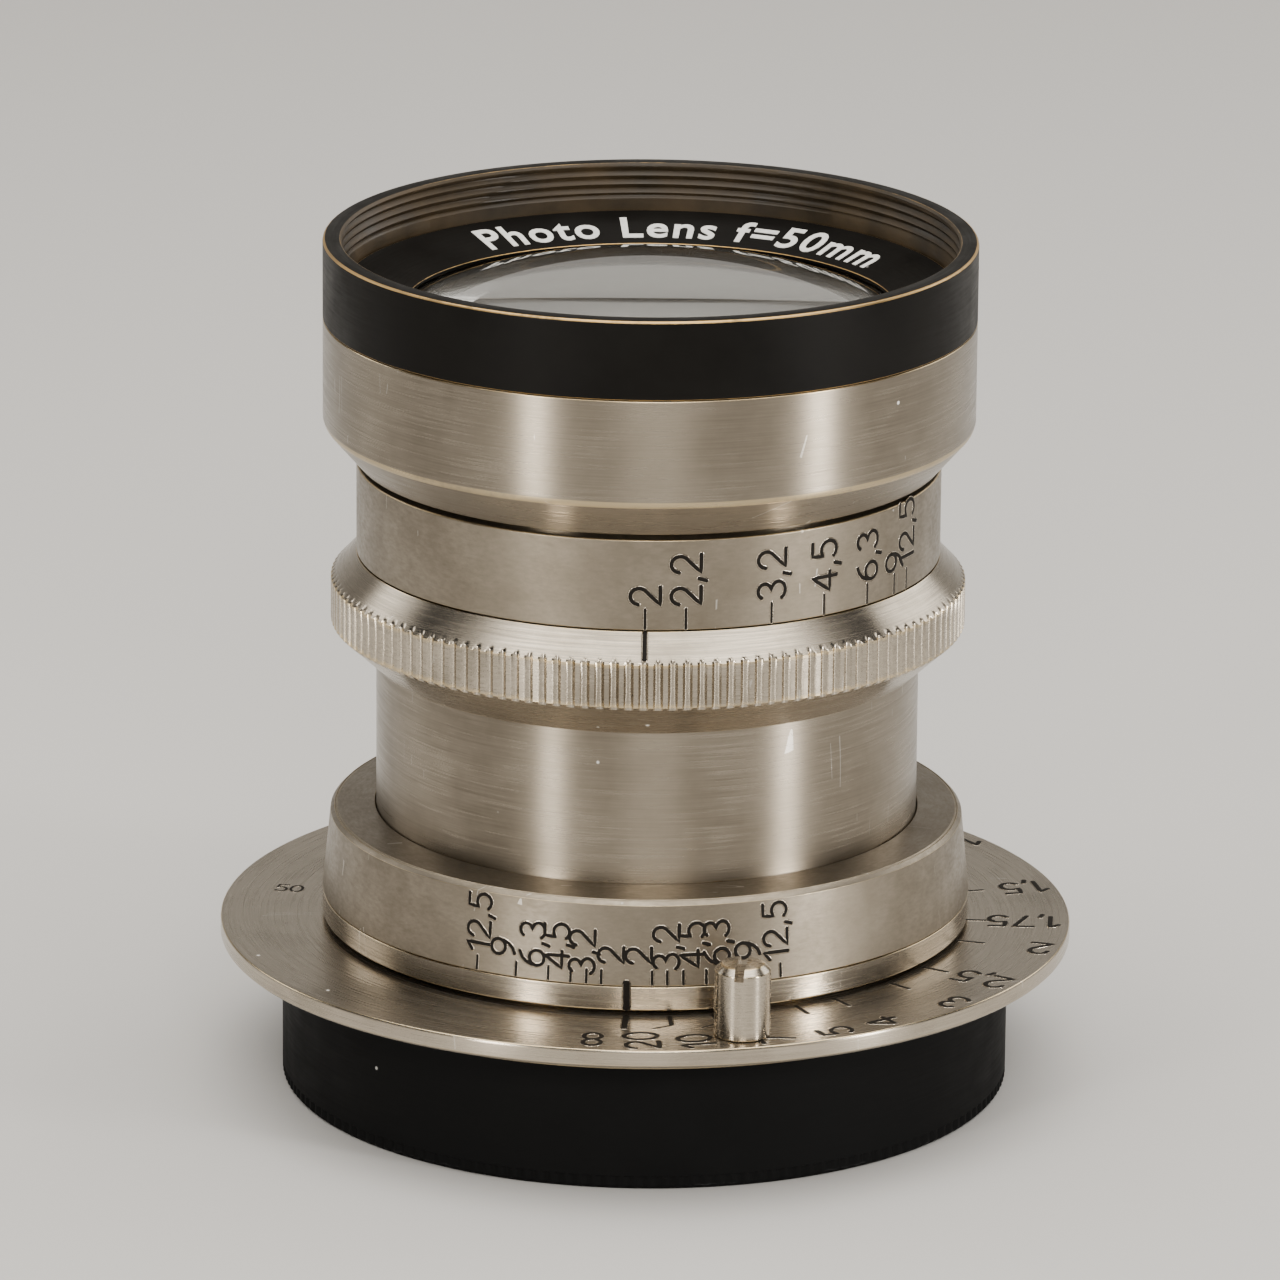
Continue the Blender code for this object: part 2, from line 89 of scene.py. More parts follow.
def newShaderGroup(name, inputs, outputs):
    tree = bpy.data.node_groups.new(name, "ShaderNodeTree")
    addSockets(tree, inputs)
    for label, kind in outputs:
        tree.interface.new_socket(label, in_out="OUTPUT", socket_type=kind)
    given = tree.nodes.new("NodeGroupInput").outputs
    return tree, partial(mathNode, tree), given, tree.nodes.new("NodeGroupOutput").inputs


vectorSocket = "NodeSocketVector"
floatSocket = "NodeSocketFloat"


def makeTurningMarks():  # fine rings left by the lathe: they follow height on a wall, radius on a face
    tree, maths, given, out = newShaderGroup("turningMarks", [
        ("Vector", vectorSocket, None), ("Lines per metre", floatSocket, 9000.0),
        ("Run", floatSocket, 0.03)], [("Value", floatSocket)])
    parts = addNode(tree, "ShaderNodeSeparateXYZ", {0: given["Vector"]}).outputs
    radius = maths("SQRT", maths("ADD", maths("MULTIPLY", parts["X"], parts["X"]),
                                            maths("MULTIPLY", parts["Y"], parts["Y"])))
    across = maths("MULTIPLY", given["Lines per metre"], given["Run"])
    place = addNode(tree, "ShaderNodeCombineXYZ", {
        "X": maths("MULTIPLY", parts["X"], across),
        "Y": maths("MULTIPLY", parts["Y"], across),
        "Z": maths("MULTIPLY", parts["Z"], given["Lines per metre"])}).outputs[0]
    noise = addNode(tree, "ShaderNodeTexNoise", {
        "Vector": place, "W": maths("MULTIPLY", radius, given["Lines per metre"]),
        "Scale": 1.0, "Detail": 3.0, "Roughness": 0.65}, noise_dimensions="4D")
    crisp = addNode(tree, "ShaderNodeMapRange", {"Value": noise.outputs[0], "From Min": 0.3, "From Max": 0.7})
    tree.links.new(crisp.outputs[0], out["Value"])
    return tree


def makeTarnish():  # soft patches where the plating has dulled
    tree, maths, given, out = newShaderGroup("tarnish", [
        ("Vector", vectorSocket, None), ("Patches per metre", floatSocket, 160.0),
        ("Cover", floatSocket, 0.5)], [("Mask", floatSocket)])
    noise = addNode(tree, "ShaderNodeTexNoise", {
        "Vector": given["Vector"], "Scale": given["Patches per metre"], "Detail": 6.0, "Roughness": 0.6})
    low = maths("SUBTRACT", 1.0, given["Cover"])
    mask = addNode(tree, "ShaderNodeMapRange", {
        "Value": noise.outputs[0], "From Min": maths("MULTIPLY", low, 0.7),
        "From Max": maths("ADD", maths("MULTIPLY", low, 0.7), 0.35)})
    tree.links.new(mask.outputs[0], out["Mask"])
    return tree


def makeEdgeWear():  # Edge is the piece's own attribute, 1 on its rounded edges
    tree, maths, given, out = newShaderGroup("edgeWear", [
        ("Vector", vectorSocket, None), ("Edge", floatSocket, 0.0), ("Amount", floatSocket, 0.5),
        ("Chips per metre", floatSocket, 900.0)], [("Mask", floatSocket)])
    chips = addNode(tree, "ShaderNodeTexNoise", {
        "Vector": given["Vector"], "Scale": given["Chips per metre"], "Detail": 5.0, "Roughness": 0.7})
    broad = addNode(tree, "ShaderNodeTexNoise", {
        "Vector": given["Vector"], "Scale": 110.0, "Detail": 2.0})
    ragged = maths("ADD", maths("MULTIPLY", chips.outputs[0], 0.6),
                      maths("MULTIPLY", broad.outputs[0], 0.7))
    level = maths("MULTIPLY", given["Edge"], maths("ADD", ragged, given["Amount"]))
    mask = addNode(tree, "ShaderNodeMapRange", {"Value": level, "From Min": 0.72, "From Max": 0.95})
    tree.links.new(mask.outputs[0], out["Mask"])
    return tree


def makeDustSpecks():
    tree, maths, given, out = newShaderGroup("dustSpecks", [
        ("Vector", vectorSocket, None), ("Cells per metre", floatSocket, 750.0),
        ("Share", floatSocket, 0.1), ("Speck size", floatSocket, 0.1)], [("Mask", floatSocket)])
    cells = addNode(tree, "ShaderNodeTexVoronoi", {
        "Vector": given["Vector"], "Scale": given["Cells per metre"]})
    pick = addNode(tree, "ShaderNodeSeparateColor", {0: cells.outputs["Color"]}).outputs["Red"]
    chosen = maths("LESS_THAN", pick, given["Share"])
    near = addNode(tree, "ShaderNodeMapRange", {
        "Value": cells.outputs["Distance"], "From Min": given["Speck size"],
        "From Max": maths("MULTIPLY", given["Speck size"], 0.5)})
    tree.links.new(maths("MULTIPLY", chosen, near.outputs[0]), out["Mask"])
    return tree


def makeHairScratches():
    tree, maths, given, out = newShaderGroup("hairScratches", [
        ("Vector", vectorSocket, None), ("Spread", floatSocket, 45.0),
        ("Width", floatSocket, 0.004)], [("Mask", floatSocket)])
    slanted = addNode(tree, "ShaderNodeMapping", {
        "Vector": given["Vector"], "Rotation": (0.9, 0.5, 0.3), "Scale": (1.0, 16.0, 1.0)})
    noise = addNode(tree, "ShaderNodeTexNoise", {
        "Vector": slanted.outputs[0], "Scale": given["Spread"], "Detail": 1.0})
    gap = maths("ABSOLUTE", maths("SUBTRACT", noise.outputs[0], 0.5))
    line = maths("LESS_THAN", gap, given["Width"])
    gate = addNode(tree, "ShaderNodeTexNoise", {
        "Vector": given["Vector"], "Scale": 420.0, "Detail": 1.0})
    tree.links.new(maths("MULTIPLY", line, maths("GREATER_THAN", gate.outputs[0], 0.64)),
                   out["Mask"])
    return tree


turningMarks = makeTurningMarks()
tarnish = makeTarnish()
edgeWear = makeEdgeWear()
dustSpecks = makeDustSpecks()
hairScratches = makeHairScratches()
print("shader groups made")


def groupNode(tree, group, inputs):
    return addNode(tree, "ShaderNodeGroup", inputs, node_tree=group).outputs[0]


def mixColour(tree, factor, first, second):
    colours = [value if isinstance(value, bpy.types.NodeSocket) else (*value, 1) for value in (first, second)]
    values = {0: factor, 6: colours[0], 7: colours[1]}
    return addNode(tree, "ShaderNodeMix", values, data_type="RGBA").outputs[2]


def ownMask(tree, name):  # a mask that the piece carries as an attribute of its points
    return addNode(tree, "ShaderNodeAttribute", None, attribute_name=name).outputs["Fac"]


def addBump(tree, shader, height, strength, distance):
    bump = addNode(tree, "ShaderNodeBump", {"Height": height, "Strength": strength, "Distance": distance})
    tree.links.new(bump.outputs[0], shader.inputs["Normal"])


def startMaterial(name):
    material = bpy.data.materials.new(name)
    material.use_nodes = True
    tree = material.node_tree
    place = addNode(tree, "ShaderNodeTexCoord").outputs["Object"]
    return material, tree, partial(mathNode, tree), tree.nodes["Principled BSDF"], place


def platedMetal(name, look):
    material, tree, maths, shader, place = startMaterial(name)
    marks = groupNode(tree, turningMarks, {
        "Vector": place, "Lines per metre": look["lines"], "Run": look["run"]})
    dull = groupNode(tree, tarnish, {"Vector": place, "Patches per metre": look["patches"],
                                     "Cover": look["dullCover"]})
    dust = groupNode(tree, dustSpecks, {"Vector": place, "Share": look["dust"]})
    scratch = groupNode(tree, hairScratches, {"Vector": place, "Width": look["scratchWidth"]})
    worn = groupNode(tree, edgeWear, {"Vector": place, "Edge": ownMask(tree, "edge"), "Amount": look["wear"]})
    # painted shade in the flute floors: a near-black colour and a little more roughness there
    grime = maths("MULTIPLY", ownMask(tree, "grime"), 0.75, clamp=True)

    colour = look["colour"]
    for mask, other in (
            (maths("MULTIPLY", dull, 0.7), look["dullColour"]),
            (maths("MULTIPLY", marks, look["markShade"]), look["dullColour"]),
            (maths("MULTIPLY", worn, look["wearShow"]), look["wornColour"]),
            (maths("MULTIPLY", scratch, 0.35), look["scratchColour"]),
            (grime, look["fluteShadeColour"]), (dust, look["dustColour"])):
        colour = mixColour(tree, mask, colour, other)
    tree.links.new(colour, shader.inputs["Base Color"])

    rough = maths("ADD", look["roughness"], maths("MULTIPLY", dull, look["dullRough"]))
    rough = maths("ADD", rough, maths("MULTIPLY", maths("SUBTRACT", marks, 0.5), look["markRough"]))
    rough = maths("ADD", rough, maths("MULTIPLY", dust, 0.5))
    rough = maths("ADD", rough, maths("MULTIPLY", grime, 0.2), clamp=True)
    tree.links.new(rough, shader.inputs["Roughness"])
    tree.links.new(maths("SUBTRACT", 1.0, dust), shader.inputs["Metallic"])
    shader.inputs["Anisotropic"].default_value = look["anisotropy"]
    shader.inputs["Anisotropic Rotation"].default_value = 0.25  # the glints spread across the turning marks
    height = maths("ADD", marks, maths("MULTIPLY", scratch, -0.6))
    addBump(tree, shader, height, look["bump"], 0.000004)
    tangent = addNode(tree, "ShaderNodeTangent", None, direction_type="RADIAL", axis="Z")
    tree.links.new(tangent.outputs[0], shader.inputs["Tangent"])
    return material


nickelLook = {
    "colour": (0.34, 0.295, 0.235), "dullColour": (0.17, 0.143, 0.106), "wornColour": (0.66, 0.52, 0.3),
    "lines": 9000.0, "run": 0.02, "patches": 150.0, "dullCover": 0.45, "dust": 0.05,
    "scratchWidth": 0.004, "wear": 0.35, "wearShow": 0.6, "markShade": 0.5, "roughness": 0.29,
    "dullRough": 0.06, "markRough": 0.14, "anisotropy": 0.88, "bump": 0.3, "scratchColour": (0.9, 0.87, 0.8),
    # colour of the painted shade along the flute floors
    "fluteShadeColour": (0.045, 0.034, 0.022), "dustColour": (0.75, 0.74, 0.7)}
satinLook = {**nickelLook, "colour": (0.3, 0.26, 0.205), "roughness": 0.36, "lines": 5000.0, "run": 0.4,
             "patches": 420.0, "dullCover": 0.5, "anisotropy": 0.1, "bump": 0.5, "dust": 0.08}
brightLook = {**nickelLook, "colour": (0.5, 0.44, 0.355), "roughness": 0.25, "markShade": 0.35,
              "anisotropy": 0.8, "dullCover": 0.3}
brassLook = {**nickelLook, "colour": (0.3, 0.2, 0.08), "dullColour": (0.12, 0.08, 0.03),
             "wornColour": (0.5, 0.36, 0.16), "roughness": 0.4}
steelLook = {**nickelLook, "colour": (0.5, 0.48, 0.44), "dullColour": (0.3, 0.28, 0.25), "roughness": 0.3}
blueSteelLook = {**nickelLook, "colour": (0.07, 0.07, 0.08), "dullColour": (0.03, 0.03, 0.03),
                 "wornColour": (0.2, 0.2, 0.2), "roughness": 0.38, "dust": 0.0}


def paintedMetal(name, look):
    material, tree, maths, shader, place = startMaterial(name)
    worn = groupNode(tree, edgeWear, {"Vector": place, "Edge": ownMask(tree, "edge"), "Amount": look["wear"]})
    dull = groupNode(tree, tarnish, {"Vector": place, "Patches per metre": look["patches"], "Cover": 0.5})
    dust = groupNode(tree, dustSpecks, {"Vector": place, "Share": look["dust"], "Speck size": 0.09})
    marks = groupNode(tree, turningMarks, {"Vector": place, "Lines per metre": 6000.0, "Run": look["run"]})
    colour = mixColour(tree, maths("MULTIPLY", dull, look["dullShow"]), look["colour"], look["dullColour"])
    colour = mixColour(tree, worn, colour, look["underColour"])
    colour = mixColour(tree, dust, colour, (0.4, 0.39, 0.37))
    tree.links.new(colour, shader.inputs["Base Color"])
    rough = maths("ADD", look["roughness"], maths("MULTIPLY", dull, look["dullRough"]))
    rough = maths("ADD", rough, maths("MULTIPLY", marks, look["markRough"]), clamp=True)
    tree.links.new(rough, shader.inputs["Roughness"])
    tree.links.new(maths("MULTIPLY", worn, maths("SUBTRACT", 1.0, dust)), shader.inputs["Metallic"])
    shader.inputs["Specular IOR Level"].default_value = look["specular"]
    height = maths("SUBTRACT", maths("MULTIPLY", marks, look["grain"]), worn)
    addBump(tree, shader, height, 0.4, 0.00001)
    return material


lacquerLook = {
    "colour": (0.004, 0.0035, 0.003), "dullColour": (0.01, 0.009, 0.007), "underColour": (0.5, 0.33, 0.14),
    "wear": 0.32, "patches": 240.0, "dust": 0.06, "run": 0.05, "dullShow": 0.25, "roughness": 0.3,
    "dullRough": 0.15, "markRough": 0.1, "specular": 0.08, "grain": 0.3}
capLook = {**lacquerLook, "colour": (0.004, 0.004, 0.004), "dullColour": (0.008, 0.008, 0.008),
           "underColour": (0.08, 0.08, 0.08), "wear": 0.05, "roughness": 0.5, "dust": 0.03, "specular": 0.05}
innerLook = {**lacquerLook, "colour": (0.012, 0.01, 0.008), "dullColour": (0.05, 0.035, 0.018),
             "wear": 0.1, "roughness": 0.5, "dullShow": 0.7, "run": 0.02}
rimInnerLook = {**innerLook, "colour": (0.02, 0.014, 0.007), "dullColour": (0.07, 0.045, 0.02),
                "roughness": 0.34, "specular": 0.35}


def paintFill(name, colour, roughness):
    material, tree, maths, shader, place = startMaterial(name)
    noise = addNode(tree, "ShaderNodeTexNoise", {"Vector": place, "Scale": 2600.0, "Detail": 3.0})
    shade = mixColour(tree, noise.outputs[0], colour, tuple(0.6 * c for c in colour))
    tree.links.new(shade, shader.inputs["Base Color"])
    rough = maths("ADD", roughness, maths("MULTIPLY", noise.outputs[0], 0.2))
    tree.links.new(rough, shader.inputs["Roughness"])
    shader.inputs["Specular IOR Level"].default_value = 0.08
    return material


def opticalGlass(name, look):
    material, tree, maths, shader, place = startMaterial(name)
    shader.inputs["Base Color"].default_value = (*look["colour"], 1)
    shader.inputs["Transmission Weight"].default_value = 1.0
    shader.inputs["IOR"].default_value = look["ior"]
    dust = groupNode(tree, dustSpecks, {"Vector": place, "Cells per metre": 900.0, "Share": look["dust"],
                                        "Speck size": 0.06})
    haze = groupNode(tree, tarnish, {"Vector": place, "Patches per metre": 130.0, "Cover": 0.4})
    rough = maths("ADD", maths("MULTIPLY", haze, look["haze"]), maths("MULTIPLY", dust, 0.3))
    tree.links.new(rough, shader.inputs["Roughness"])
    return material


frontGlassLook = {"colour": (0.97, 0.98, 0.96), "ior": 1.52, "dust": 0.03, "haze": 0.01}
innerGlassLook = {"colour": (0.97, 0.98, 0.97), "ior": 1.58, "dust": 0.0, "haze": 0.0}

finish = {
    "nickel": platedMetal("brushedNickel", nickelLook),
    "satin": platedMetal("satinNickel", satinLook),
    "bright": platedMetal("brightNickel", brightLook),
    "brass": platedMetal("turnedBrass", brassLook),
    "steel": platedMetal("turnedSteel", steelLook),
    "blueSteel": platedMetal("bluedSteel", blueSteelLook),
    "lacquer": paintedMetal("blackLacquer", lacquerLook),
    "cap": paintedMetal("matteCapBlack", capLook),
    "inner": paintedMetal("blackenedBrass", innerLook),
    "rimInner": paintedMetal("wornRimBlack", rimInnerLook),
    "ink": paintFill("engravingBlack", (0.012, 0.01, 0.008), 0.45),
    "white": paintFill("letteringWhite", (0.85, 0.84, 0.8), 0.5),
    "frontGlass": opticalGlass("frontGlass", frontGlassLook),
    "innerGlass": opticalGlass("innerGlass", innerGlassLook),
}
print("materials made")


def roundedProfile(points, arcSteps=4):  # points are (radius, height, rounding)
    offAxis = points[0][0] > 0
    outline = []
    for index, (radius, height, rounding) in enumerate(points):
        atEnd = not offAxis and index in (0, len(points) - 1)
        if rounding == 0 or atEnd:
            outline.append((radius, height, 0.0))
            continue
        corner = Vector((radius, height))
        before = (Vector(points[index - 1][:2]) - corner).normalized()
        after = (Vector(points[(index + 1) % len(points)][:2]) - corner).normalized()
        half = before.angle(after) / 2
        if not 0.02 < half < 1.55:
            outline.append((radius, height, 0.0))
            continue
        centre = corner + (before + after).normalized() * (rounding / math.sin(half))
        start = corner + before * (rounding / math.tan(half)) - centre
        end = corner + after * (rounding / math.tan(half)) - centre
        sweep = start.angle(end)
        side = 1 if start.cross(end) > 0 else -1
        for step in range(arcSteps + 1):
            turn = side * sweep * step / arcSteps
            spoke = Matrix.Rotation(turn, 2) @ start
            outline.append((centre.x + spoke.x, centre.y + spoke.y, float(0 < step < arcSteps)))
    return outline


def lathe(name, outline, steps, shift=None):  # shift(angle, radius, height) changes the radius, for threads
    verts, faces, edges = [], [], []
    rows = []
    for radius, height, edge in outline:
        if radius < 1e-6:
            rows.append([len(verts)] * steps)
            verts.append((0.0, 0.0, height * mm))
            edges.append(edge)
            continue
        row = []
        for step in range(steps):
            angle = fullTurn * step / steps
            r = radius + (shift(angle, radius, height) if shift else 0.0)
            row.append(len(verts))
            verts.append((r * math.cos(angle) * mm, r * math.sin(angle) * mm, height * mm))
            edges.append(edge)
        rows.append(row)
    count = len(rows)
    last = count if outline[0][0] > 1e-6 else count - 1
    for index in range(last):
        low, high = rows[index], rows[(index + 1) % count]
        for step in range(steps):
            after = (step + 1) % steps
            corners = [low[step], low[after], high[after], high[step]]
            faces.append(list(dict.fromkeys(corners)))
    mesh = bpy.data.meshes.new(name)
    mesh.from_pydata(verts, [], faces)
    attribute = mesh.attributes.new("edge", "FLOAT", "POINT")
    attribute.data.foreach_set("value", edges)
    tidyNormals(mesh)
    return linked(name, mesh)


def linked(name, mesh):
    item = bpy.data.objects.new(name, mesh)
    bpy.context.scene.collection.objects.link(item)
    return item


def tidyNormals(mesh):
    bm = bmesh.new()
    bm.from_mesh(mesh)
    bmesh.ops.recalc_face_normals(bm, faces=bm.faces)
    bm.to_mesh(mesh)
    bm.free()


def bakeModifiers(item):  # turns the evaluated result into the piece's plain mesh
    graph = bpy.context.evaluated_depsgraph_get()
    mesh = bpy.data.meshes.new_from_object(item.evaluated_get(graph), preserve_all_data_layers=True,
                                           depsgraph=graph)
    item.modifiers.clear()
    item.data = mesh
    return item


def finishPiece(item, look, body, nodes=(), sharp=40):
    mesh = item.data
    mesh.shade_smooth()
    mesh.set_sharp_from_angle(angle=math.radians(sharp))
    weighted = item.modifiers.new("evenShading", "WEIGHTED_NORMAL")
    weighted.mode = "FACE_AREA"
    weighted.weight = 100
    weighted.keep_sharp = True
    bakeModifiers(item)
    if not item.data.materials:
        item.data.materials.append(None)
    item.data.materials[0] = finish[look]
    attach(item, body)
    if nodes:
        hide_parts(*nodes)


def turnPiece(name, node, points, steps, look, body, arcSteps=4):  # a plain ring in one go
    finishPiece(lathe(name, roundedProfile(points, arcSteps), steps), look, body, [node])


def pieceName(node):
    first, *others = node.split("_")
    return first + "".join(word.capitalize() for word in others)


def refinish(node, look):  # a CAD piece that keeps its own shape
    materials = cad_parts[node].data.materials
    materials.clear()
    materials.append(finish[look])


def threadShift(pitch, depth, low, high, inward):  # a helical thread, faded out at both ends
    def shift(angle, radius, height):
        if not low - 1e-6 <= height <= high + 1e-6:
            return 0.0
        fade = min(1.0, (height - low) / (0.4 * pitch), (high - height) / (0.4 * pitch))
        phase = (height / pitch - angle / fullTurn) % 1.0
        groove = abs(2 * phase - 1)
        return (depth if inward else -depth) * groove * max(0.0, fade)
    return shift


def threadRows(radius, start, end, pitch, perTurn=6):  # rows close enough to carry the thread
    count = max(2, int(round(abs(end - start) / pitch * perTurn)))
    return [(radius, start + (end - start) * step / count, 0) for step in range(count + 1)]


def newGeometryTree(name, inputs):
    tree = bpy.data.node_groups.new(name, "GeometryNodeTree")
    addSockets(tree, [("Geometry", "NodeSocketGeometry", None)] + inputs)
    tree.interface.new_socket("Geometry", in_out="OUTPUT", socket_type="NodeSocketGeometry")
    given = tree.nodes.new("NodeGroupInput").outputs
    return tree, partial(mathNode, tree), given, tree.nodes.new("NodeGroupOutput").inputs


def closeTree(tree, geometry, material, out):  # every tree ends in Realize Instances and Set Material
    real = addNode(tree, "GeometryNodeRealizeInstances", {"Geometry": geometry})
    painted = addNode(tree, "GeometryNodeSetMaterial", {"Geometry": real.outputs[0], "Material": material})
    tree.links.new(painted.outputs[0], out["Geometry"])


def growOn(item, tree, values):  # runs a tree on a piece and keeps the plain mesh
    modifier = item.modifiers.new(tree.name, "NODES")
    modifier.node_group = tree
    for socket in tree.interface.items_tree:
        if socket.in_out == "INPUT" and socket.name in values:
            modifier[socket.identifier] = values[socket.name]
    return bakeModifiers(item)


def makeFluteTree():  # cuts even flutes round a turned piece, as a round-nosed tool running along it would
    tree, maths, given, out = newGeometryTree("fluteCutter", [
        ("Flutes", floatSocket, 140.0), ("Radius", floatSocket, 0.0175), ("Depth", floatSocket, 0.0001),
        ("Width share", floatSocket, 0.66), ("Lowest", floatSocket, 0.0), ("Highest", floatSocket, 1.0),
        ("Material", "NodeSocketMaterial", None)])
    place = addNode(tree, "GeometryNodeInputPosition").outputs[0]
    parts = addNode(tree, "ShaderNodeSeparateXYZ", {0: place}).outputs
    angle = maths("ARCTAN2", parts["Y"], parts["X"])
    turns = maths("MULTIPLY", maths("DIVIDE", angle, fullTurn), given["Flutes"])
    offCentre = maths("ABSOLUTE", maths("SUBTRACT", maths("FRACT", maths("ADD", turns, 0.5)), 0.5))
    across = maths("DIVIDE", maths("MULTIPLY", offCentre, 2.0), given["Width share"])  # 1 at a flute's edge
    rise = maths("MULTIPLY", maths("MULTIPLY", across, across), given["Depth"])
    floor = maths("ADD", maths("SUBTRACT", given["Radius"], given["Depth"]), rise)
    radius = maths("SQRT", maths("ADD", maths("MULTIPLY", parts["X"], parts["X"]),
                                 maths("MULTIPLY", parts["Y"], parts["Y"])))
    cut = maths("DIVIDE", maths("MINIMUM", radius, floor), radius)
    moved = addNode(tree, "ShaderNodeCombineXYZ", {
        "X": maths("MULTIPLY", parts["X"], cut), "Y": maths("MULTIPLY", parts["Y"], cut), "Z": parts["Z"]})
    inside = addNode(tree, "FunctionNodeBooleanMath", {
        0: addNode(tree, "FunctionNodeCompare", {0: parts["Z"], 1: given["Lowest"]},
                   data_type="FLOAT", operation="GREATER_EQUAL").outputs[0],
        1: addNode(tree, "FunctionNodeCompare", {0: parts["Z"], 1: given["Highest"]},
                   data_type="FLOAT", operation="LESS_EQUAL").outputs[0]}, operation="AND")
    bent = addNode(tree, "GeometryNodeSetPosition", {
        "Geometry": given["Geometry"], "Selection": inside.outputs[0], "Position": moved.outputs[0]})
    # painted shade: a mask that is strongest along each flute's floor, so that the colour darkens into the
    # flutes
    sunk = maths("MULTIPLY", maths("SUBTRACT", maths("DIVIDE", maths("SUBTRACT", given["Radius"], floor),
                                                     given["Depth"]), 0.35), 1.5)
    cutIn = maths("MULTIPLY", sunk, maths("LESS_THAN", cut, 0.9999))
    grime = addNode(tree, "GeometryNodeStoreNamedAttribute", {
        "Geometry": bent.outputs[0], "Name": "grime", "Value": cutIn}, data_type="FLOAT", domain="POINT")
    closeTree(tree, grime.outputs[0], given["Material"], out)
    return tree


def makeStrokeTree():  # runs a round-ended cutter along every line, as wide as the line's own attribute says
    tree, maths, given, out = newGeometryTree("engravedStrokes", [
        ("Flatness", floatSocket, 0.1), ("Widen", floatSocket, 0.0),
        ("Material", "NodeSocketMaterial", None)])
    width = addNode(tree, "GeometryNodeInputNamedAttribute", {"Name": "strokeWidth"}, data_type="FLOAT")
    wide = maths("ADD", width.outputs[0], given["Widen"])
    lines = addNode(tree, "GeometryNodeMeshToCurve", {"Mesh": given["Geometry"]})
    level = addNode(tree, "GeometryNodeSetCurveNormal", {"Curve": lines.outputs[0]}, mode="Z_UP")
    nose = addNode(tree, "GeometryNodeCurvePrimitiveCircle", {"Resolution": 8, "Radius": 0.5})
    swept = addNode(tree, "GeometryNodeCurveToMesh", {
        "Curve": level.outputs[0], "Profile Curve": nose.outputs[0], "Scale": wide, "Fill Caps": True})
    ball = addNode(tree, "GeometryNodeMeshUVSphere", {"Segments": 10, "Rings": 5, "Radius": 0.5})
    ends = addNode(tree, "GeometryNodeCurveEndpointSelection")
    dots = addNode(tree, "GeometryNodeInstanceOnPoints", {
        "Points": lines.outputs[0], "Selection": ends.outputs[0], "Instance": ball.outputs[0], "Scale": wide})
    real = addNode(tree, "GeometryNodeRealizeInstances", {"Geometry": dots.outputs[0]})
    both = addNode(tree, "GeometryNodeJoinGeometry")
    tree.links.new(swept.outputs[0], both.inputs[0])
    tree.links.new(real.outputs[0], both.inputs[0])
    place = addNode(tree, "GeometryNodeInputPosition").outputs[0]
    parts = addNode(tree, "ShaderNodeSeparateXYZ", {0: place}).outputs
    flat = addNode(tree, "ShaderNodeCombineXYZ", {
        "X": parts["X"], "Y": parts["Y"], "Z": maths("MULTIPLY", parts["Z"], given["Flatness"])}).outputs[0]
    pressed = addNode(tree, "GeometryNodeSetPosition", {"Geometry": both.outputs[0], "Position": flat})
    closeTree(tree, pressed.outputs[0], given["Material"], out)
    return tree


fluteTree = makeFluteTree()
strokeTree = makeStrokeTree()
print("geometry trees made")


def onWall(radius, height, slope=0.0):  # a turned wall; slope is how far it leans in for each unit up
    lean = math.atan(slope)

    def place(degrees, along, up, out):
        r = radius - up * math.sin(lean) + out * math.cos(lean)
        z = height + up * math.cos(lean) + out * math.sin(lean)
        return aroundAxis(r, degrees + math.degrees(along / radius), z)
    return place


def onFace(radius, height):  # a flat turned face, where up runs inwards
    def place(degrees, along, up, out):
        sideways = aroundAxis(along, degrees + 90, 0)
        return aroundAxis(radius - up, degrees, height + out) + sideways
    return place


def arcLine(x, y, wide, tall, start, end):
    count = max(4, round(abs(end - start) / 24))
    turns = [math.radians(start + (end - start) * step / count) for step in range(count + 1)]
    return [(x + wide * math.cos(turn), y + tall * math.sin(turn)) for turn in turns]


digitStrokes = {  # width of each sign, then the cutter's lines in a cell one unit tall
    "0": (0.68, [arcLine(0.34, 0.5, 0.34, 0.5, 90, 450)]),
    "1": (0.42, [[(0.06, 0.76), (0.36, 1.0), (0.36, 0.0)]]),
    "2": (0.7, [arcLine(0.34, 0.7, 0.31, 0.3, 172, -38) + [(0.02, 0.0), (0.7, 0.0)]]),
    "3": (0.66, [arcLine(0.32, 0.76, 0.28, 0.24, 150, -90)[:-1] + arcLine(0.32, 0.26, 0.34, 0.26, 90, -150)]),
    "4": (0.72, [[(0.54, 0.0), (0.54, 1.0), (0.0, 0.28), (0.72, 0.28)]]),
    "5": (0.68, [[(0.62, 1.0), (0.14, 1.0), (0.08, 0.56)] + arcLine(0.33, 0.32, 0.34, 0.32, 122, -140)]),
    "6": (0.68, [arcLine(0.34, 0.3, 0.33, 0.3, 180, 540), arcLine(0.66, 0.3, 0.65, 0.7, 100, 180)]),
    "7": (0.66, [[(0.02, 1.0), (0.66, 1.0), (0.24, 0.0)]]),
    "8": (0.66, [arcLine(0.33, 0.76, 0.26, 0.24, -90, 270), arcLine(0.33, 0.26, 0.33, 0.26, 90, 450)]),
    "9": (0.68, [arcLine(0.34, 0.7, 0.33, 0.3, 0, 360), arcLine(0.02, 0.7, 0.65, 0.7, 0, -80)]),
    ",": (0.12, [[(0.1, 0.06), (0.02, -0.18)]]),
    "∞": (1.24, [arcLine(0.31, 0.5, 0.31, 0.27, 0, 360), arcLine(0.93, 0.5, 0.31, 0.27, 180, 540)]),
}
cell = 100.0  # each mark is laid out flat in its own cell, then carried to its place
shortStep = 0.3  # so that a straight stroke follows its wall round


def strokeLines(text, height, narrow=0.9, gap=0.2):  # flat lines of a label, from its own lower left corner
    lines, x = [], 0.0
    for sign in text:
        width, strokes = digitStrokes[sign]
        lines += [[((x + px) * height * narrow, py * height) for px, py in stroke] for stroke in strokes]
        x += width + gap
    return lines


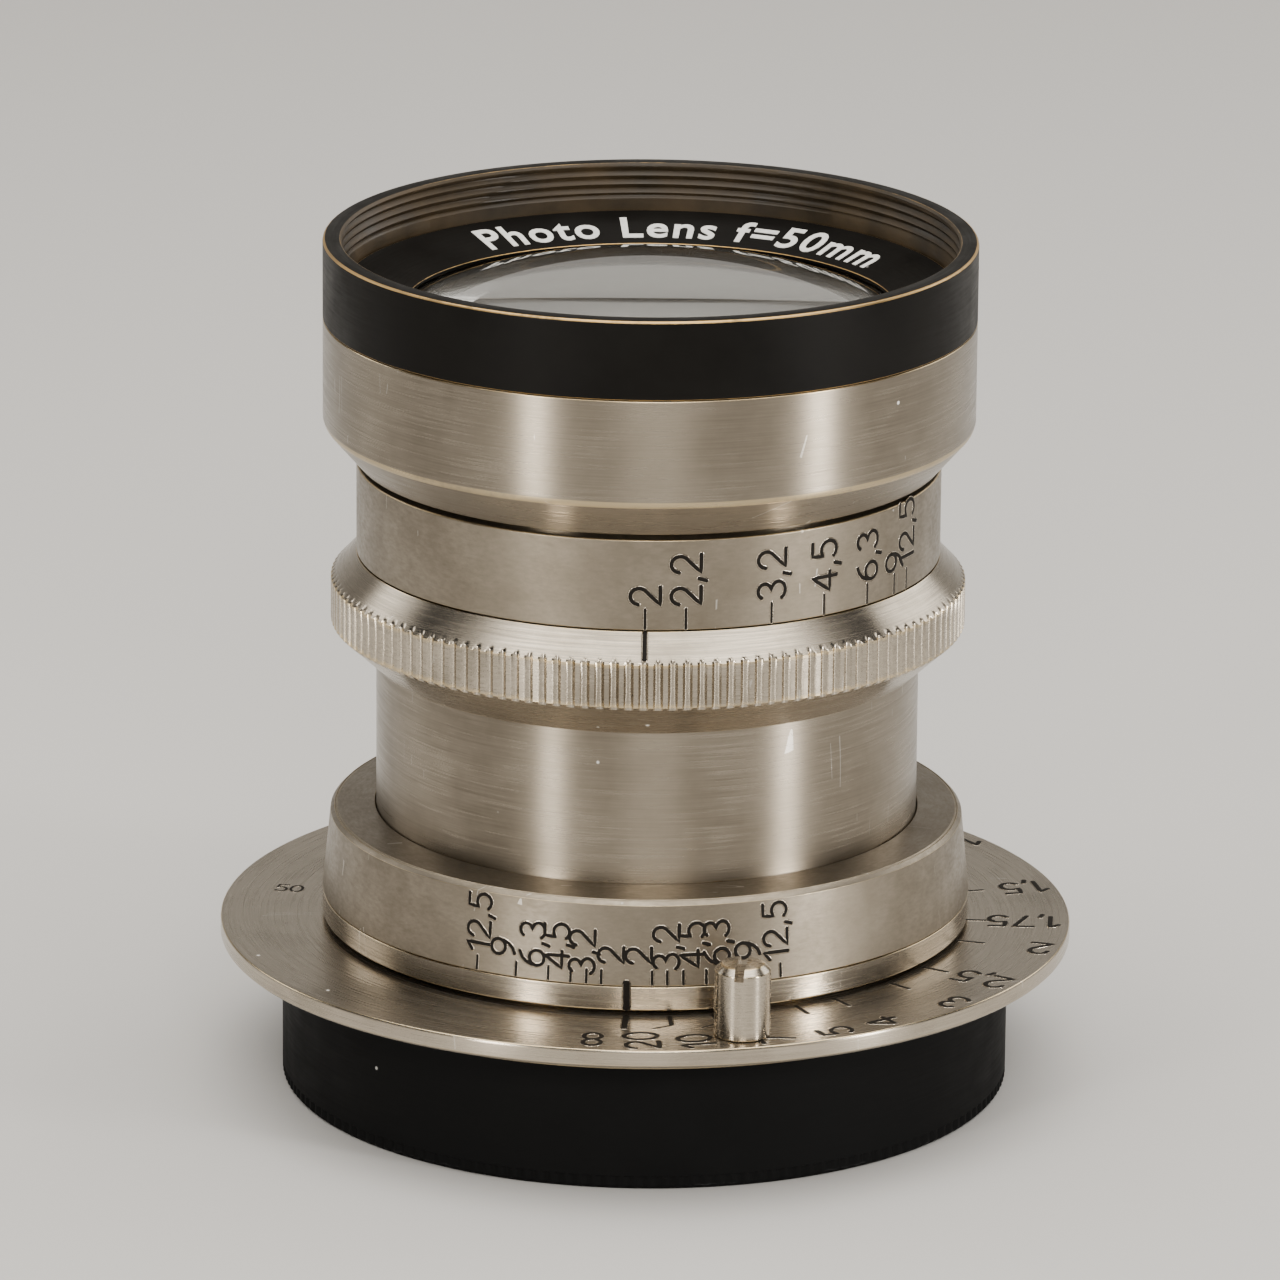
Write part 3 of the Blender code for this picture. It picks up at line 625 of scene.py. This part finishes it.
def layOut(labels, marks, spec):  # (lines, width, angle, aside, up) of each engraved mark
    laid = []
    for label in labels:
        height = label.get("height", spec["height"])
        turned = [[(-y, x) for x, y in line] for line in strokeLines(label["text"], height)]
        laid.append((turned, label.get("stroke", spec["stroke"]), label["at"],
                     label.get("aside", 0.0) + height / 2, label["up"]))
    for mark in marks:
        line = [(0.0, 0.0), (mark.get("lean", 0.0), mark["length"])]
        laid.append(([line], mark["width"], mark["at"], 0.0, mark["up"]))
    return laid


def strokeMesh(name, laid):
    verts, edges, widths = [], [], []
    for index, (lines, width, angle, aside, up) in enumerate(laid):
        for line in lines:
            closed = math.dist(line[0], line[-1]) < 1e-6
            points = [line[0]]
            for start, end in zip(line, line[1:]):
                parts = max(1, math.ceil(math.dist(start, end) / shortStep))
                points += [tuple(a + (b - a) * part / parts for a, b in zip(start, end))
                           for part in range(1, parts + 1)]
            points = points[:-1] if closed else points
            first = len(verts)
            verts += [((index * cell + aside + x) * mm, (up + y) * mm, 0.0) for x, y in points]
            widths += [width * mm] * len(points)
            edges += [(first + step, first + step + 1) for step in range(len(points) - 1)]
            if closed:
                edges.append((len(verts) - 1, first))
    mesh = bpy.data.meshes.new(name)
    mesh.from_pydata(verts, edges, [])
    mesh.attributes.new("strokeWidth", "FLOAT", "POINT").data.foreach_set("value", widths)
    return mesh


def wrapOn(mesh, laid, surface):
    for vert in mesh.vertices:
        index = round(vert.co.x / mm / cell)
        along = vert.co.x / mm - index * cell
        vert.co = surface(laid[index][2], along, vert.co.y / mm, vert.co.z / mm) * mm


def engrave(name, surface, laid, body):  # the dark cut, and the raised burr beside it, drawn in bright nickel as a painted highlight along the cut's edge
    for suffix, flatness, widen, fill in (("Cut", 0.12, 0.0, "ink"), ("Burr", 0.06, 0.07, "bright")):
        piece = growOn(linked(name + suffix, strokeMesh(name + suffix, laid)), strokeTree, {
            "Flatness": flatness, "Widen": widen * mm, "Material": finish[fill]})
        wrapOn(piece.data, laid, surface)
        tidyNormals(piece.data)
        piece.data.shade_smooth()
        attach(piece, body)


rearCap = {"bevel": 0.35, "foot": 0.25, "bore": 19.56, "floor": 1.0, "notches": 168, "notchDepth": 0.12,
           "notchTop": 0.75, "stepsPerNotch": 6}


def makeRearCap():
    radius, bottom, top = nodeSize("rear_cap")
    spec = rearCap
    outline = roundedProfile([
        (0, bottom, 0), (radius - spec["foot"], bottom, 0.2), (radius, bottom + spec["foot"], 0.1),
        (radius, spec["notchTop"], 0), (radius, spec["notchTop"] + 0.05, 0),
        (radius, top, spec["bevel"]), (spec["bore"], top, 0.15),
        (spec["bore"], spec["floor"], 0.3), (0, spec["floor"], 0)])
    cap = lathe("rearCapShell", outline, spec["notches"] * spec["stepsPerNotch"])
    growOn(cap, fluteTree, {
        "Flutes": float(spec["notches"]), "Radius": radius * mm, "Depth": spec["notchDepth"] * mm,
        "Width share": 0.7, "Lowest": -1.0, "Highest": spec["notchTop"] * mm, "Material": finish["cap"]})
    finishPiece(cap, "cap", "cap", ["rear_cap"])


makeRearCap()
print("rear cap made")


screwMount = {"pitch": 25.4 / 26, "threadDepth": 0.45, "thread": 19.46, "undercut": 19.1, "seat": 7.45,
              "undercutBottom": 6.9, "runOut": 0.3, "counterbore": 18.7, "ledge": 6.2, "bore": 17.9,
              "edge": 0.05, "steps": 160}


def makeScrewMount():
    radius, bottom, top = nodeSize("mount_ring")
    spec = screwMount
    edge = spec["edge"]
    low, high = bottom + spec["runOut"], spec["undercutBottom"] - spec["runOut"]
    points = [(radius, top, 0.12), (radius, spec["seat"], 0.12),
              (spec["undercut"], spec["seat"], edge), (spec["undercut"], spec["undercutBottom"], 0)]
    points += threadRows(spec["thread"], high, low, spec["pitch"], 8)
    points += [(spec["thread"] - 0.3, bottom, edge), (spec["counterbore"], bottom, edge),
               (spec["counterbore"], spec["ledge"], edge), (spec["bore"], spec["ledge"], edge),
               (spec["bore"], top, 0.1)]
    shift = threadShift(spec["pitch"], spec["threadDepth"], low, high, False)

    def outerOnly(angle, radius, height):
        return shift(angle, radius, height) if radius > spec["undercut"] + 0.2 else 0.0
    ring = lathe("screwMountRing", roundedProfile(points), spec["steps"], outerOnly)
    finishPiece(ring, "nickel", "mount", ["mount_ring"])


makeScrewMount()
refinish("guide_ring", "brass")
refinish("disc_retaining_ring", "brass")
print("screw mount made")


distanceDisc = {"gap": 0.1, "edge": 0.16, "hub": 17.8, "hubStep": 6.15, "neck": 17.2, "bore": 16.4,
                "steps": 240, "infinity": -3.1, "spread": 148.0, "near": 0.1,
                "metres": ["20", "10", "7", "5", "4", "3", "2,5", "2", "1,75", "1,5", "1,25", "1"],
                "height": 1.8, "stroke": 0.34, "focal": -100.0}


def discAngle(distance):
    return distanceDisc["infinity"] + distanceDisc["spread"] / (distance - distanceDisc["near"])


def makeDistanceDisc():
    radius, bottom, top = nodeSize("focus_disc")
    spec = distanceDisc
    under = nodeSize("mount_ring")[2] + spec["gap"]
    edge = spec["edge"]
    turnPiece("distanceDisc", "focus_disc", [
        (spec["bore"], top, 0.05), (radius - 0.02, top, 0.1), (radius, top - edge, 0.1),
        (radius, under + edge, 0.08), (radius - edge, under, 0.08), (spec["hub"], under, 0.05),
        (spec["hub"], spec["hubStep"], 0.05),
        (spec["neck"], spec["hubStep"], 0.05), (spec["neck"], bottom, 0.05),
        (spec["bore"], bottom, 0.05)], spec["steps"], "bright", "focus")

    surface = onFace(radius, top)
    labels = [{"text": "∞", "at": spec["infinity"], "up": 0.75, "aside": -1.6},
              {"text": "50", "at": spec["focal"], "up": 2.6, "height": 1.1, "stroke": 0.2}]
    marks = [{"at": spec["infinity"], "up": 3.7, "length": 1.95, "width": 0.42}]
    for text in spec["metres"]:
        distance = float(text.replace(",", "."))
        angle = discAngle(distance)
        far = distance >= 10
        labels.append({"text": text, "at": angle, "up": 0.5, "aside": -1.8 if far else 0.0})
        marks.append({"at": angle, "up": 4.3, "length": 1.35, "width": 0.3})
        if far:
            marks.append({"at": angle, "up": 4.2, "length": -0.5, "lean": -1.0, "width": 0.2})
    engrave("distanceScale", surface, layOut(labels, marks, spec), "focus")


makeDistanceDisc()
print("distance disc made")


focusPeg = {"centre": 21.5, "angle": 14.2, "radius": 1.53, "top": 13.4, "foot": 9.25, "spigot": 0.8,
            "spigotEnd": 8.35, "slotHalf": 0.26, "slotDepth": 0.75, "slotTurn": -8, "steps": 64}


def makeFocusPeg():
    spec = focusPeg
    outline = roundedProfile([
        (0, spec["top"], 0), (0.5, spec["top"] - 0.02, 0.3), (1.15, spec["top"] - 0.14, 0.4),
        (spec["radius"], spec["top"] - 0.5, 0.12), (spec["radius"], spec["foot"], 0.1),
        (spec["spigot"], spec["foot"], 0.05), (spec["spigot"], spec["spigotEnd"], 0.1),
        (0, spec["spigotEnd"], 0)])
    peg = lathe("focusPegScrew", outline, spec["steps"])
    cutter = linked("pegSlotCutter", bpy.data.meshes.new("pegSlotCutter"))
    bm = bmesh.new()
    bmesh.ops.create_cube(bm, size=1.0)
    bmesh.ops.scale(bm, verts=bm.verts, vec=(2 * spec["slotHalf"] * mm, 4 * mm, 2 * spec["slotDepth"] * mm))
    bmesh.ops.rotate(bm, verts=bm.verts, matrix=Matrix.Rotation(math.radians(spec["slotTurn"]), 3, "Z"))
    bmesh.ops.translate(bm, verts=bm.verts, vec=(0, 0, spec["top"] * mm))
    bm.to_mesh(cutter.data)
    bm.free()
    cut = peg.modifiers.new("slot", "BOOLEAN")
    cut.operation = "DIFFERENCE"
    cut.solver = "EXACT"
    cut.object = cutter
    bakeModifiers(peg)
    bpy.data.objects.remove(cutter)
    peg.data.transform(Matrix.Translation(aroundAxis(spec["centre"], spec["angle"], 0) * mm))
    finishPiece(peg, "bright", "focus", ["focus_peg"], 30)


makeFocusPeg()
print("focusing peg made")


collar = {"helixPitch": 1.53, "helixDepth": 0.25, "helixRunOut": 0.3, "sleeveBore": 15.12, "bore": 16.38,
          "lip": 15.15, "shoulder": 15.56, "shoulderRadius": 17.6, "bevel": 0.22,
          "steps": 240, "sleeveSteps": 160,
          "index": -3.1, "offsets": [4.4, 7.0, 9.8, 13.8, 19.7, 27.3],
          "stops": ["2", "3,2", "4,5", "6,3", "9", "12,5"], "height": 1.42, "stroke": 0.25,
          "shifts": {-1: [(0.5, 1.25), (-0.28, 0.6), (-0.83, 0.8), (-0.97, 0.8), (-0.83, 1.15), (0.0, 1.1)],
                     1: [(-0.75, 1.25), (-0.06, 0.95), (0.5, 1.05), (0.6, 1.15), (0.5, 1.35), (-0.25, 1.05)]}}


def makeCollar():
    spec = collar
    radius, bottom, top = nodeSize("helicoid_sleeve")
    low, high = bottom + spec["helixRunOut"], top - spec["helixRunOut"]
    points = [(radius, top, 0)]
    points += threadRows(radius, high, low, spec["helixPitch"])
    points += [(radius, bottom, 0), (spec["sleeveBore"], bottom, 0),
               (spec["sleeveBore"], top, 0)]
    shift = threadShift(spec["helixPitch"], spec["helixDepth"], low, high, False)

    def outerOnly(angle, radius, height):
        return shift(angle, radius, height) if radius > spec["sleeveBore"] + 0.3 else 0.0
    tube = lathe("helicoidSleeve", roundedProfile(points), spec["sleeveSteps"], outerOnly)
    finishPiece(tube, "brass", "lens_unit", ["helicoid_sleeve"])

    bandRadius, bandBottom, top = nodeSize("index_band")
    turnPiece("indexBand", "index_band", [
        (bandRadius, top, 0.07), (bandRadius, bandBottom, 0.12), (spec["bore"], bandBottom, 0.05),
        (spec["bore"], top, 0.05)],
        spec["steps"], "bright", "lens_unit")

    radius, bottom, top = nodeSize("depth_scale_ring")
    edge, rim = spec["shoulder"], spec["shoulderRadius"]
    turnPiece("depthScaleRing", "depth_scale_ring", [
        (radius, bottom, 0.05), (spec["bore"], bottom, 0), (spec["bore"], spec["lip"], 0),
        (spec["sleeveBore"], spec["lip"], 0), (spec["sleeveBore"], top, 0.04),
        (rim - 0.38, edge + 0.02, 0.03), (rim - 0.3, edge - 0.05, 0.03), (rim - 0.22, edge, 0.03),
        (rim, edge - spec["bevel"], 0.05)], spec["steps"], "satin", "lens_unit")

    slope = (radius - rim) / (edge - spec["bevel"] - bottom)
    surface = onWall(radius, bottom, slope)
    labels, marks = [], []
    for side, shifts in spec["shifts"].items():
        for offset, text, (aside, up) in zip(spec["offsets"], spec["stops"], shifts):
            angle = spec["index"] + side * offset
            labels.append({"text": text, "at": angle, "aside": aside, "up": up})
            marks.append({"at": angle, "up": 0.12, "length": 0.72, "width": 0.19})
    engrave("depthScale", surface, layOut(labels, marks, spec), "lens_unit")
    bandMark = layOut([], [{"at": spec["index"], "up": 0.2, "length": 1.35, "width": 0.44}], spec)
    engrave("focusIndex", onWall(bandRadius, bandBottom), bandMark, "lens_unit")


makeCollar()
print("collar made")


barrelTube = {"front": 14.5, "rear": 14.3, "step": 29.4, "steps": 240}
apertureScale = {"start": -0.5, "stops": ["2", "2,2", "3,2", "4,5", "6,3", "9", "12,5"],
                 "degrees": [0.0, 7.8, 24.9, 36.6, 47.9, 56.5, 61.1], "height": 1.62, "stroke": 0.27,
                 "markLength": 1.2, "bore": 15.11, "steps": 240}


def makeBarrel():
    radius, bottom, top = nodeSize("barrel")
    spec = barrelTube
    turnPiece("barrelTube", "barrel", [
        (radius, top, 0.1), (radius, bottom, 0.1),
        (spec["rear"], bottom, 0.05), (spec["rear"], spec["step"], 0),
        (spec["front"], spec["step"], 0), (spec["front"], top, 0.05)],
        spec["steps"], "nickel", "lens_unit")

    spec = apertureScale
    radius, bottom, top = nodeSize("aperture_scale_sleeve")
    turnPiece("apertureScaleSleeve", "aperture_scale_sleeve", [
        (radius, top, 0.1), (radius, bottom, 0.06),
        (spec["bore"], bottom, 0), (spec["bore"], top, 0.03)],
        spec["steps"], "satin", "lens_unit")
    surface = onWall(radius, bottom)
    labels, marks = [], []
    for text, turn in zip(spec["stops"], spec["degrees"]):
        angle = spec["start"] + turn
        labels.append({"text": text, "at": angle, "up": spec["markLength"] + 0.2})
        marks.append({"at": angle, "up": 0.1, "length": spec["markLength"] - 0.12, "width": 0.19})
    engrave("apertureScale", surface, layOut(labels, marks, spec), "lens_unit")


makeBarrel()
print("barrel made")


apertureRing = {"flutes": 139, "fluteDepth": 0.2, "widthShare": 2 / 3, "stepsPerFlute": 12,
                "knurlBottom": 26.5, "knurlTop": 28.9, "upperRadius": 16.15, "bore": 15.13, "index": -0.5}


def makeApertureRing():
    radius, bottom, top = nodeSize("aperture_ring")
    spec = apertureRing
    rows = []
    lower = spec["bore"] + 0.12
    corners = [(spec["upperRadius"], top), (radius, spec["knurlTop"]),
               (radius, spec["knurlBottom"]), (lower, bottom)]
    for (r1, z1), (r2, z2), count in zip(corners, corners[1:], (12, 3, 12)):
        for step in range(count):
            share = step / count
            rows.append((r1 + (r2 - r1) * share, z1 + (z2 - z1) * share, 1.0 if step == 0 else 0.0))
    bore = spec["bore"]
    rows += [(lower, bottom, 1.0), (bore, bottom, 0.0), (bore, top, 0.0)]
    ring = lathe("apertureRing", rows, spec["flutes"] * spec["stepsPerFlute"])
    growOn(ring, fluteTree, {
        "Flutes": float(spec["flutes"]), "Radius": radius * mm, "Depth": spec["fluteDepth"] * mm,
        "Width share": spec["widthShare"], "Lowest": -1.0, "Highest": 1.0,
        "Material": finish["bright"]})
    finishPiece(ring, "bright", "aperture", ["aperture_ring"], 22)
    slope = (radius - spec["upperRadius"]) / (top - spec["knurlTop"])
    surface = onWall(radius, spec["knurlTop"], slope)
    mark = layOut([], [{"at": spec["index"], "up": 0.4, "length": 1.55, "width": 0.33}], spec)
    engrave("apertureIndex", surface, mark, "aperture")


makeApertureRing()
print("aperture ring made")


head = {"bore": 16.9, "edge": 37.9, "lowerRadius": 16.15, "collar": 15.11, "step": 36.7, "stepRadius": 16.0,
        "steps": 240}
frontRim = {"land": 1.05, "edge": 0.18, "filterPitch": 0.5, "threadDepth": 0.22, "threadLength": 1.9,
            "threadStart": 0.15, "spigot": 16.82, "spigotBore": 15.3, "spigotEnd": 41.9, "ledge": 44.5,
            "joint": 43.75, "steps": 240}
nameRing = {"inner": 13.5, "innerTop": 44.3, "outerTop": 45.4, "letterSize": 2.75, "proud": 0.03,
            "weight": 0.05, "spacing": 1.12, "up": 0.62, "middle": 171.0, "lineRadius": 14.9,
            "text": "Photo Lens f=50mm", "steps": 240}


def makeHead():
    radius, bottom, top = nodeSize("head_shell")
    spec = head
    step, stepRadius = spec["step"], spec["stepRadius"]
    turnPiece("headShell", "head_shell", [
        (radius, top, 0.08), (radius, spec["edge"], 0.7),
        (spec["lowerRadius"], bottom, 0.15), (spec["collar"], bottom, 0.03),
        (spec["collar"], step, 0), (stepRadius, step, 0), (stepRadius, step + 0.8, 0),
        (spec["bore"], step + 1.7, 0), (spec["bore"], top, 0.05)],
        spec["steps"], "nickel", "lens_unit", 6)

    spec = frontRim
    top = nodeSize("front_rim")[2]
    inner = radius - spec["land"]
    high = top - spec["threadStart"]
    low = high - spec["threadLength"]
    points = [(radius, spec["joint"], 0.06), (spec["spigot"], spec["joint"], 0),
              (spec["spigot"], spec["spigotEnd"], 0), (spec["spigotBore"], spec["spigotEnd"], 0),
              (spec["spigotBore"], spec["ledge"] - 0.3, 0), (inner, spec["ledge"], 0),
              (inner, spec["ledge"] + 0.9, 0)]
    points += threadRows(inner, low, high, spec["filterPitch"])
    points += [(inner + 0.1, top, 0.05), (radius, top, spec["edge"])]
    shift = threadShift(spec["filterPitch"], spec["threadDepth"], low, high, True)

    def innerOnly(angle, radius, height):
        return shift(angle, radius, height) if abs(radius - inner) < 0.02 else 0.0
    rim = lathe("frontRim", roundedProfile(points), spec["steps"], innerOnly)
    rim.data.materials.append(finish["lacquer"])
    rim.data.materials.append(finish["rimInner"])
    for face in rim.data.polygons:
        middle = face.center
        if math.hypot(middle.x, middle.y) < (inner + 0.25) * mm and middle.z > spec["ledge"] * mm:
            face.material_index = 1
    finishPiece(rim, "lacquer", "lens_unit", ["front_rim"])

    spec = nameRing
    outer = inner - 0.1
    turnPiece("nameRing", "name_ring", [
        (outer, spec["outerTop"], 0.06), (outer, spec["outerTop"] - 0.8, 0),
        (spec["inner"], spec["innerTop"] - 0.18, 0), (spec["inner"], spec["innerTop"], 0.06)],
        spec["steps"], "lacquer", "lens_unit")
    rise = (spec["outerTop"] - spec["innerTop"]) / (outer - spec["inner"])
    curve = bpy.data.curves.new("lettering", "FONT")
    curve.body = spec["text"]
    curve.size = spec["letterSize"]
    curve.offset = spec["weight"]
    curve.extrude = spec["proud"]
    curve.resolution_u = 4
    curve.align_x = "CENTER"
    curve.space_character = spec["spacing"]
    words = bpy.data.objects.new("frontLettering", curve)
    bpy.context.scene.collection.objects.link(words)
    bpy.context.view_layer.update()
    graph = bpy.context.evaluated_depsgraph_get()
    mesh = bpy.data.meshes.new_from_object(words.evaluated_get(graph))
    bpy.data.objects.remove(words)
    for vert in mesh.vertices:  # the letters stand on the ring's inner edge and follow it round
        x, y, z = vert.co
        radius = spec["inner"] + spec["up"] + y
        turn = spec["middle"] - math.degrees(x / spec["lineRadius"])
        vert.co = aroundAxis(radius, turn, spec["innerTop"] + (radius - spec["inner"]) * rise + z) * mm
    lettering = linked("frontLettering", mesh)
    finishPiece(lettering, "white", "lens_unit")


makeHead()
print("head made")


def sagged(vertex, bend, radius):
    if bend == 0:
        return vertex
    return vertex - math.copysign(abs(bend) - math.sqrt(bend * bend - radius * radius), bend)


elements = {  # vertex height, bend (positive is domed to the front) and clear radius of both faces
    "front_element": {"edge": 14.0, "front": (46.5, 38.0, 14.0), "back": (42.3, 120.0, 14.0)},
    "second_element": {"edge": 11.4, "front": (41.7, 21.0, 11.4), "back": (35.6, 0.0, 11.4)},
    "third_element": {"edge": 11.4, "front": (35.55, 0.0, 11.4), "back": (33.93, 14.5, 9.0)},
    "fourth_element": {"edge": 10.6, "front": (23.32, -15.5, 9.0), "back": (21.8, 0.0, 10.6)},
    "fifth_element": {"edge": 10.6, "front": (21.75, 0.0, 10.6), "back": (16.52, -23.0, 10.6)},
    "rear_element": {"edge": 10.6, "front": (16.1, 60.0, 10.6), "back": (12.3, -30.0, 10.6)},
}
cells = {  # radius and height of each corner
    "front_cell": [
        (14.9, 43.9), (14.9, 37.4), (15.9, 37.4), (15.9, 36.78), (14.42, 36.78), (14.42, 30.15), (9.3, 30.15),
        (9.3, 30.7), (11.46, 30.7), (11.46, 41.4), (14.06, 41.4), (14.06, 43.9)],
    "rear_cell": [
        (11.6, 26.8), (11.6, 26.0), (14.2, 26.0), (14.2, 25.0), (11.6, 25.0), (11.6, 12.0), (10.66, 12.0),
        (10.66, 26.28), (9.1, 26.28), (9.1, 26.8)],
}
plainRings = ["doublet_retaining_ring", "rear_spacer", "rear_lens_ring", "rear_cell_ring"]
lockRing = {"outer": 15.0, "inner": 13.92, "step": 2.92}
opticsSteps = 128


def lensFace(face, edge):
    vertex, bend, clear = face
    count = 1 if bend == 0 else 16
    radii = [clear * step / count for step in range(count + 1)]
    points = [(radius, sagged(vertex, bend, radius), 0) for radius in radii]
    if edge > clear:
        points.append((edge, points[-1][1], 0))
    return points


def makeOptics():
    for node, spec in elements.items():
        points = lensFace(spec["front"], spec["edge"]) + lensFace(spec["back"], spec["edge"])[::-1]
        glass = lathe(pieceName(node), points, opticsSteps)
        look = "frontGlass" if node == "front_element" else "innerGlass"
        finishPiece(glass, look, "lens_unit", [node], 30)

    corners = {node: (points, 0.04, 2) for node, points in cells.items()}
    for node in plainRings:
        radius, bottom, top = nodeSize(node)
        bore = boreOf(node)
        corners[node] = ([(radius, top), (radius, bottom),
                          (bore, bottom), (bore, top)], 0.08, 3)
    radius, bottom, top = nodeSize("barrel_lock_ring")
    bore = boreOf("barrel_lock_ring")
    outer, inner, step = lockRing["outer"], lockRing["inner"], lockRing["step"]
    corners["barrel_lock_ring"] = ([(outer, step), (outer, bottom), (bore, bottom),
                                    (bore, top), (inner, top), (inner, step)], 0.08, 3)
    for node, (points, rounding, arcSteps) in corners.items():
        points = [(radius, height, rounding) for radius, height in points]
        turnPiece(pieceName(node), node, points, opticsSteps, "inner", "lens_unit", arcSteps)


makeOptics()
refinish("iris_base", "inner")
refinish("iris_cam_ring", "brass")
refinish("aperture_drive_screw", "steel")
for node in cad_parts:
    if node.startswith("iris_blade"):
        refinish(node, "blueSteel")
print("optics made")


studio = {"floorColour": (0.5, 0.49, 0.475), "grainColour": (0.5, 0.49, 0.47), "floorHalf": 0.9,
          "sweepStart": 0.35, "sweepRadius": 0.25, "aim": (0, 0, 0.03),
          "world": (0.7, 0.71, 0.74), "worldStrength": 0.06}


def makeFloor():
    verts, faces = [], []
    half, start, radius = studio["floorHalf"], studio["sweepStart"], studio["sweepRadius"]
    line = [(-half, 0.0)]
    for step in range(17):
        turn = math.pi / 2 * step / 16
        line.append((start + radius * math.sin(turn), radius - radius * math.cos(turn)))
    line.append((start + radius, half))
    for y, z in line:
        verts += [(-half, y, z), (half, y, z)]
    for index in range(len(line) - 1):
        faces.append([2 * index, 2 * index + 1, 2 * index + 3, 2 * index + 2])
    mesh = bpy.data.meshes.new("studioFloor")
    mesh.from_pydata(verts, [], faces)
    mesh.shade_smooth()
    material, tree, maths, shader, place = startMaterial("paleFloor")
    grain = addNode(tree, "ShaderNodeTexNoise", {"Vector": place, "Scale": 900.0, "Detail": 4.0})
    share = maths("MULTIPLY", grain.outputs[0], 0.12)
    colour = mixColour(tree, share, studio["floorColour"], studio["grainColour"])
    tree.links.new(colour, shader.inputs["Base Color"])
    shader.inputs["Roughness"].default_value = 0.85
    mesh.materials.append(material)
    floor = linked("studioFloor", mesh)


lamps = {  # place, size, power and colour
    "topSoftbox": ((0.0, -0.02, 0.44), (0.6, 0.5), 4.4, (1.0, 0.965, 0.91)),
    "leftStrip": ((-0.25, -0.31, 0.085), (0.05, 0.14), 0.75, (1.0, 0.96, 0.9)),
    "rightStrip": ((0.34, -0.2, 0.085), (0.045, 0.14), 1.15, (1.0, 0.97, 0.93)),
    "frontFill": ((0.03, -0.5, 0.3), (0.22, 0.12), 1.5, (1.0, 0.965, 0.91)),
    "rightBack": ((0.36, 0.26, 0.24), (0.3, 0.2), 0.6, (1.0, 0.97, 0.92)),
    "leftBack": ((-0.4, 0.2, 0.22), (0.22, 0.16), 0.35, (1.0, 0.97, 0.92)),
}


def makeLights():
    for name, (place, size, power, colour) in lamps.items():
        data = bpy.data.lights.new(name, "AREA")
        data.shape = "RECTANGLE"
        data.size, data.size_y = size
        data.energy = power
        data.color = colour
        item = bpy.data.objects.new(name, data)
        item.location = place
        item.rotation_euler = (Vector(studio["aim"]) - Vector(place)).to_track_quat("-Z", "Y").to_euler()
        bpy.context.scene.collection.objects.link(item)
    world = bpy.data.worlds.new("studioWorld")
    world.use_nodes = True
    background = world.node_tree.nodes["Background"]
    background.inputs["Color"].default_value = (*studio["world"], 1)
    background.inputs["Strength"].default_value = studio["worldStrength"]
    bpy.context.scene.world = world


cameraSetup = {"place": (0.0, -0.5066, 0.1780), "pitch": -16.80, "yaw": 0.047, "roll": 0.478, "lens": 268.1}


def makeCamera():
    spec = cameraSetup
    data = bpy.data.cameras.new("mainCamera")
    data.lens = spec["lens"]
    data.sensor_width = 36.0
    data.clip_start = 0.01
    camera = bpy.data.objects.new("mainCamera", data)
    level = Matrix.Rotation(math.radians(90 + spec["pitch"]), 3, "X")
    yaw = Matrix.Rotation(math.radians(spec["yaw"]), 3, "Z")
    turned = yaw @ level @ Matrix.Rotation(math.radians(spec["roll"]), 3, "Z")
    camera.location = spec["place"]
    camera.rotation_euler = turned.to_euler()
    bpy.context.scene.collection.objects.link(camera)
    bpy.context.scene.camera = camera


makeFloor()
makeLights()
makeCamera()
bpy.context.view_layer.update()
print("scene ready")
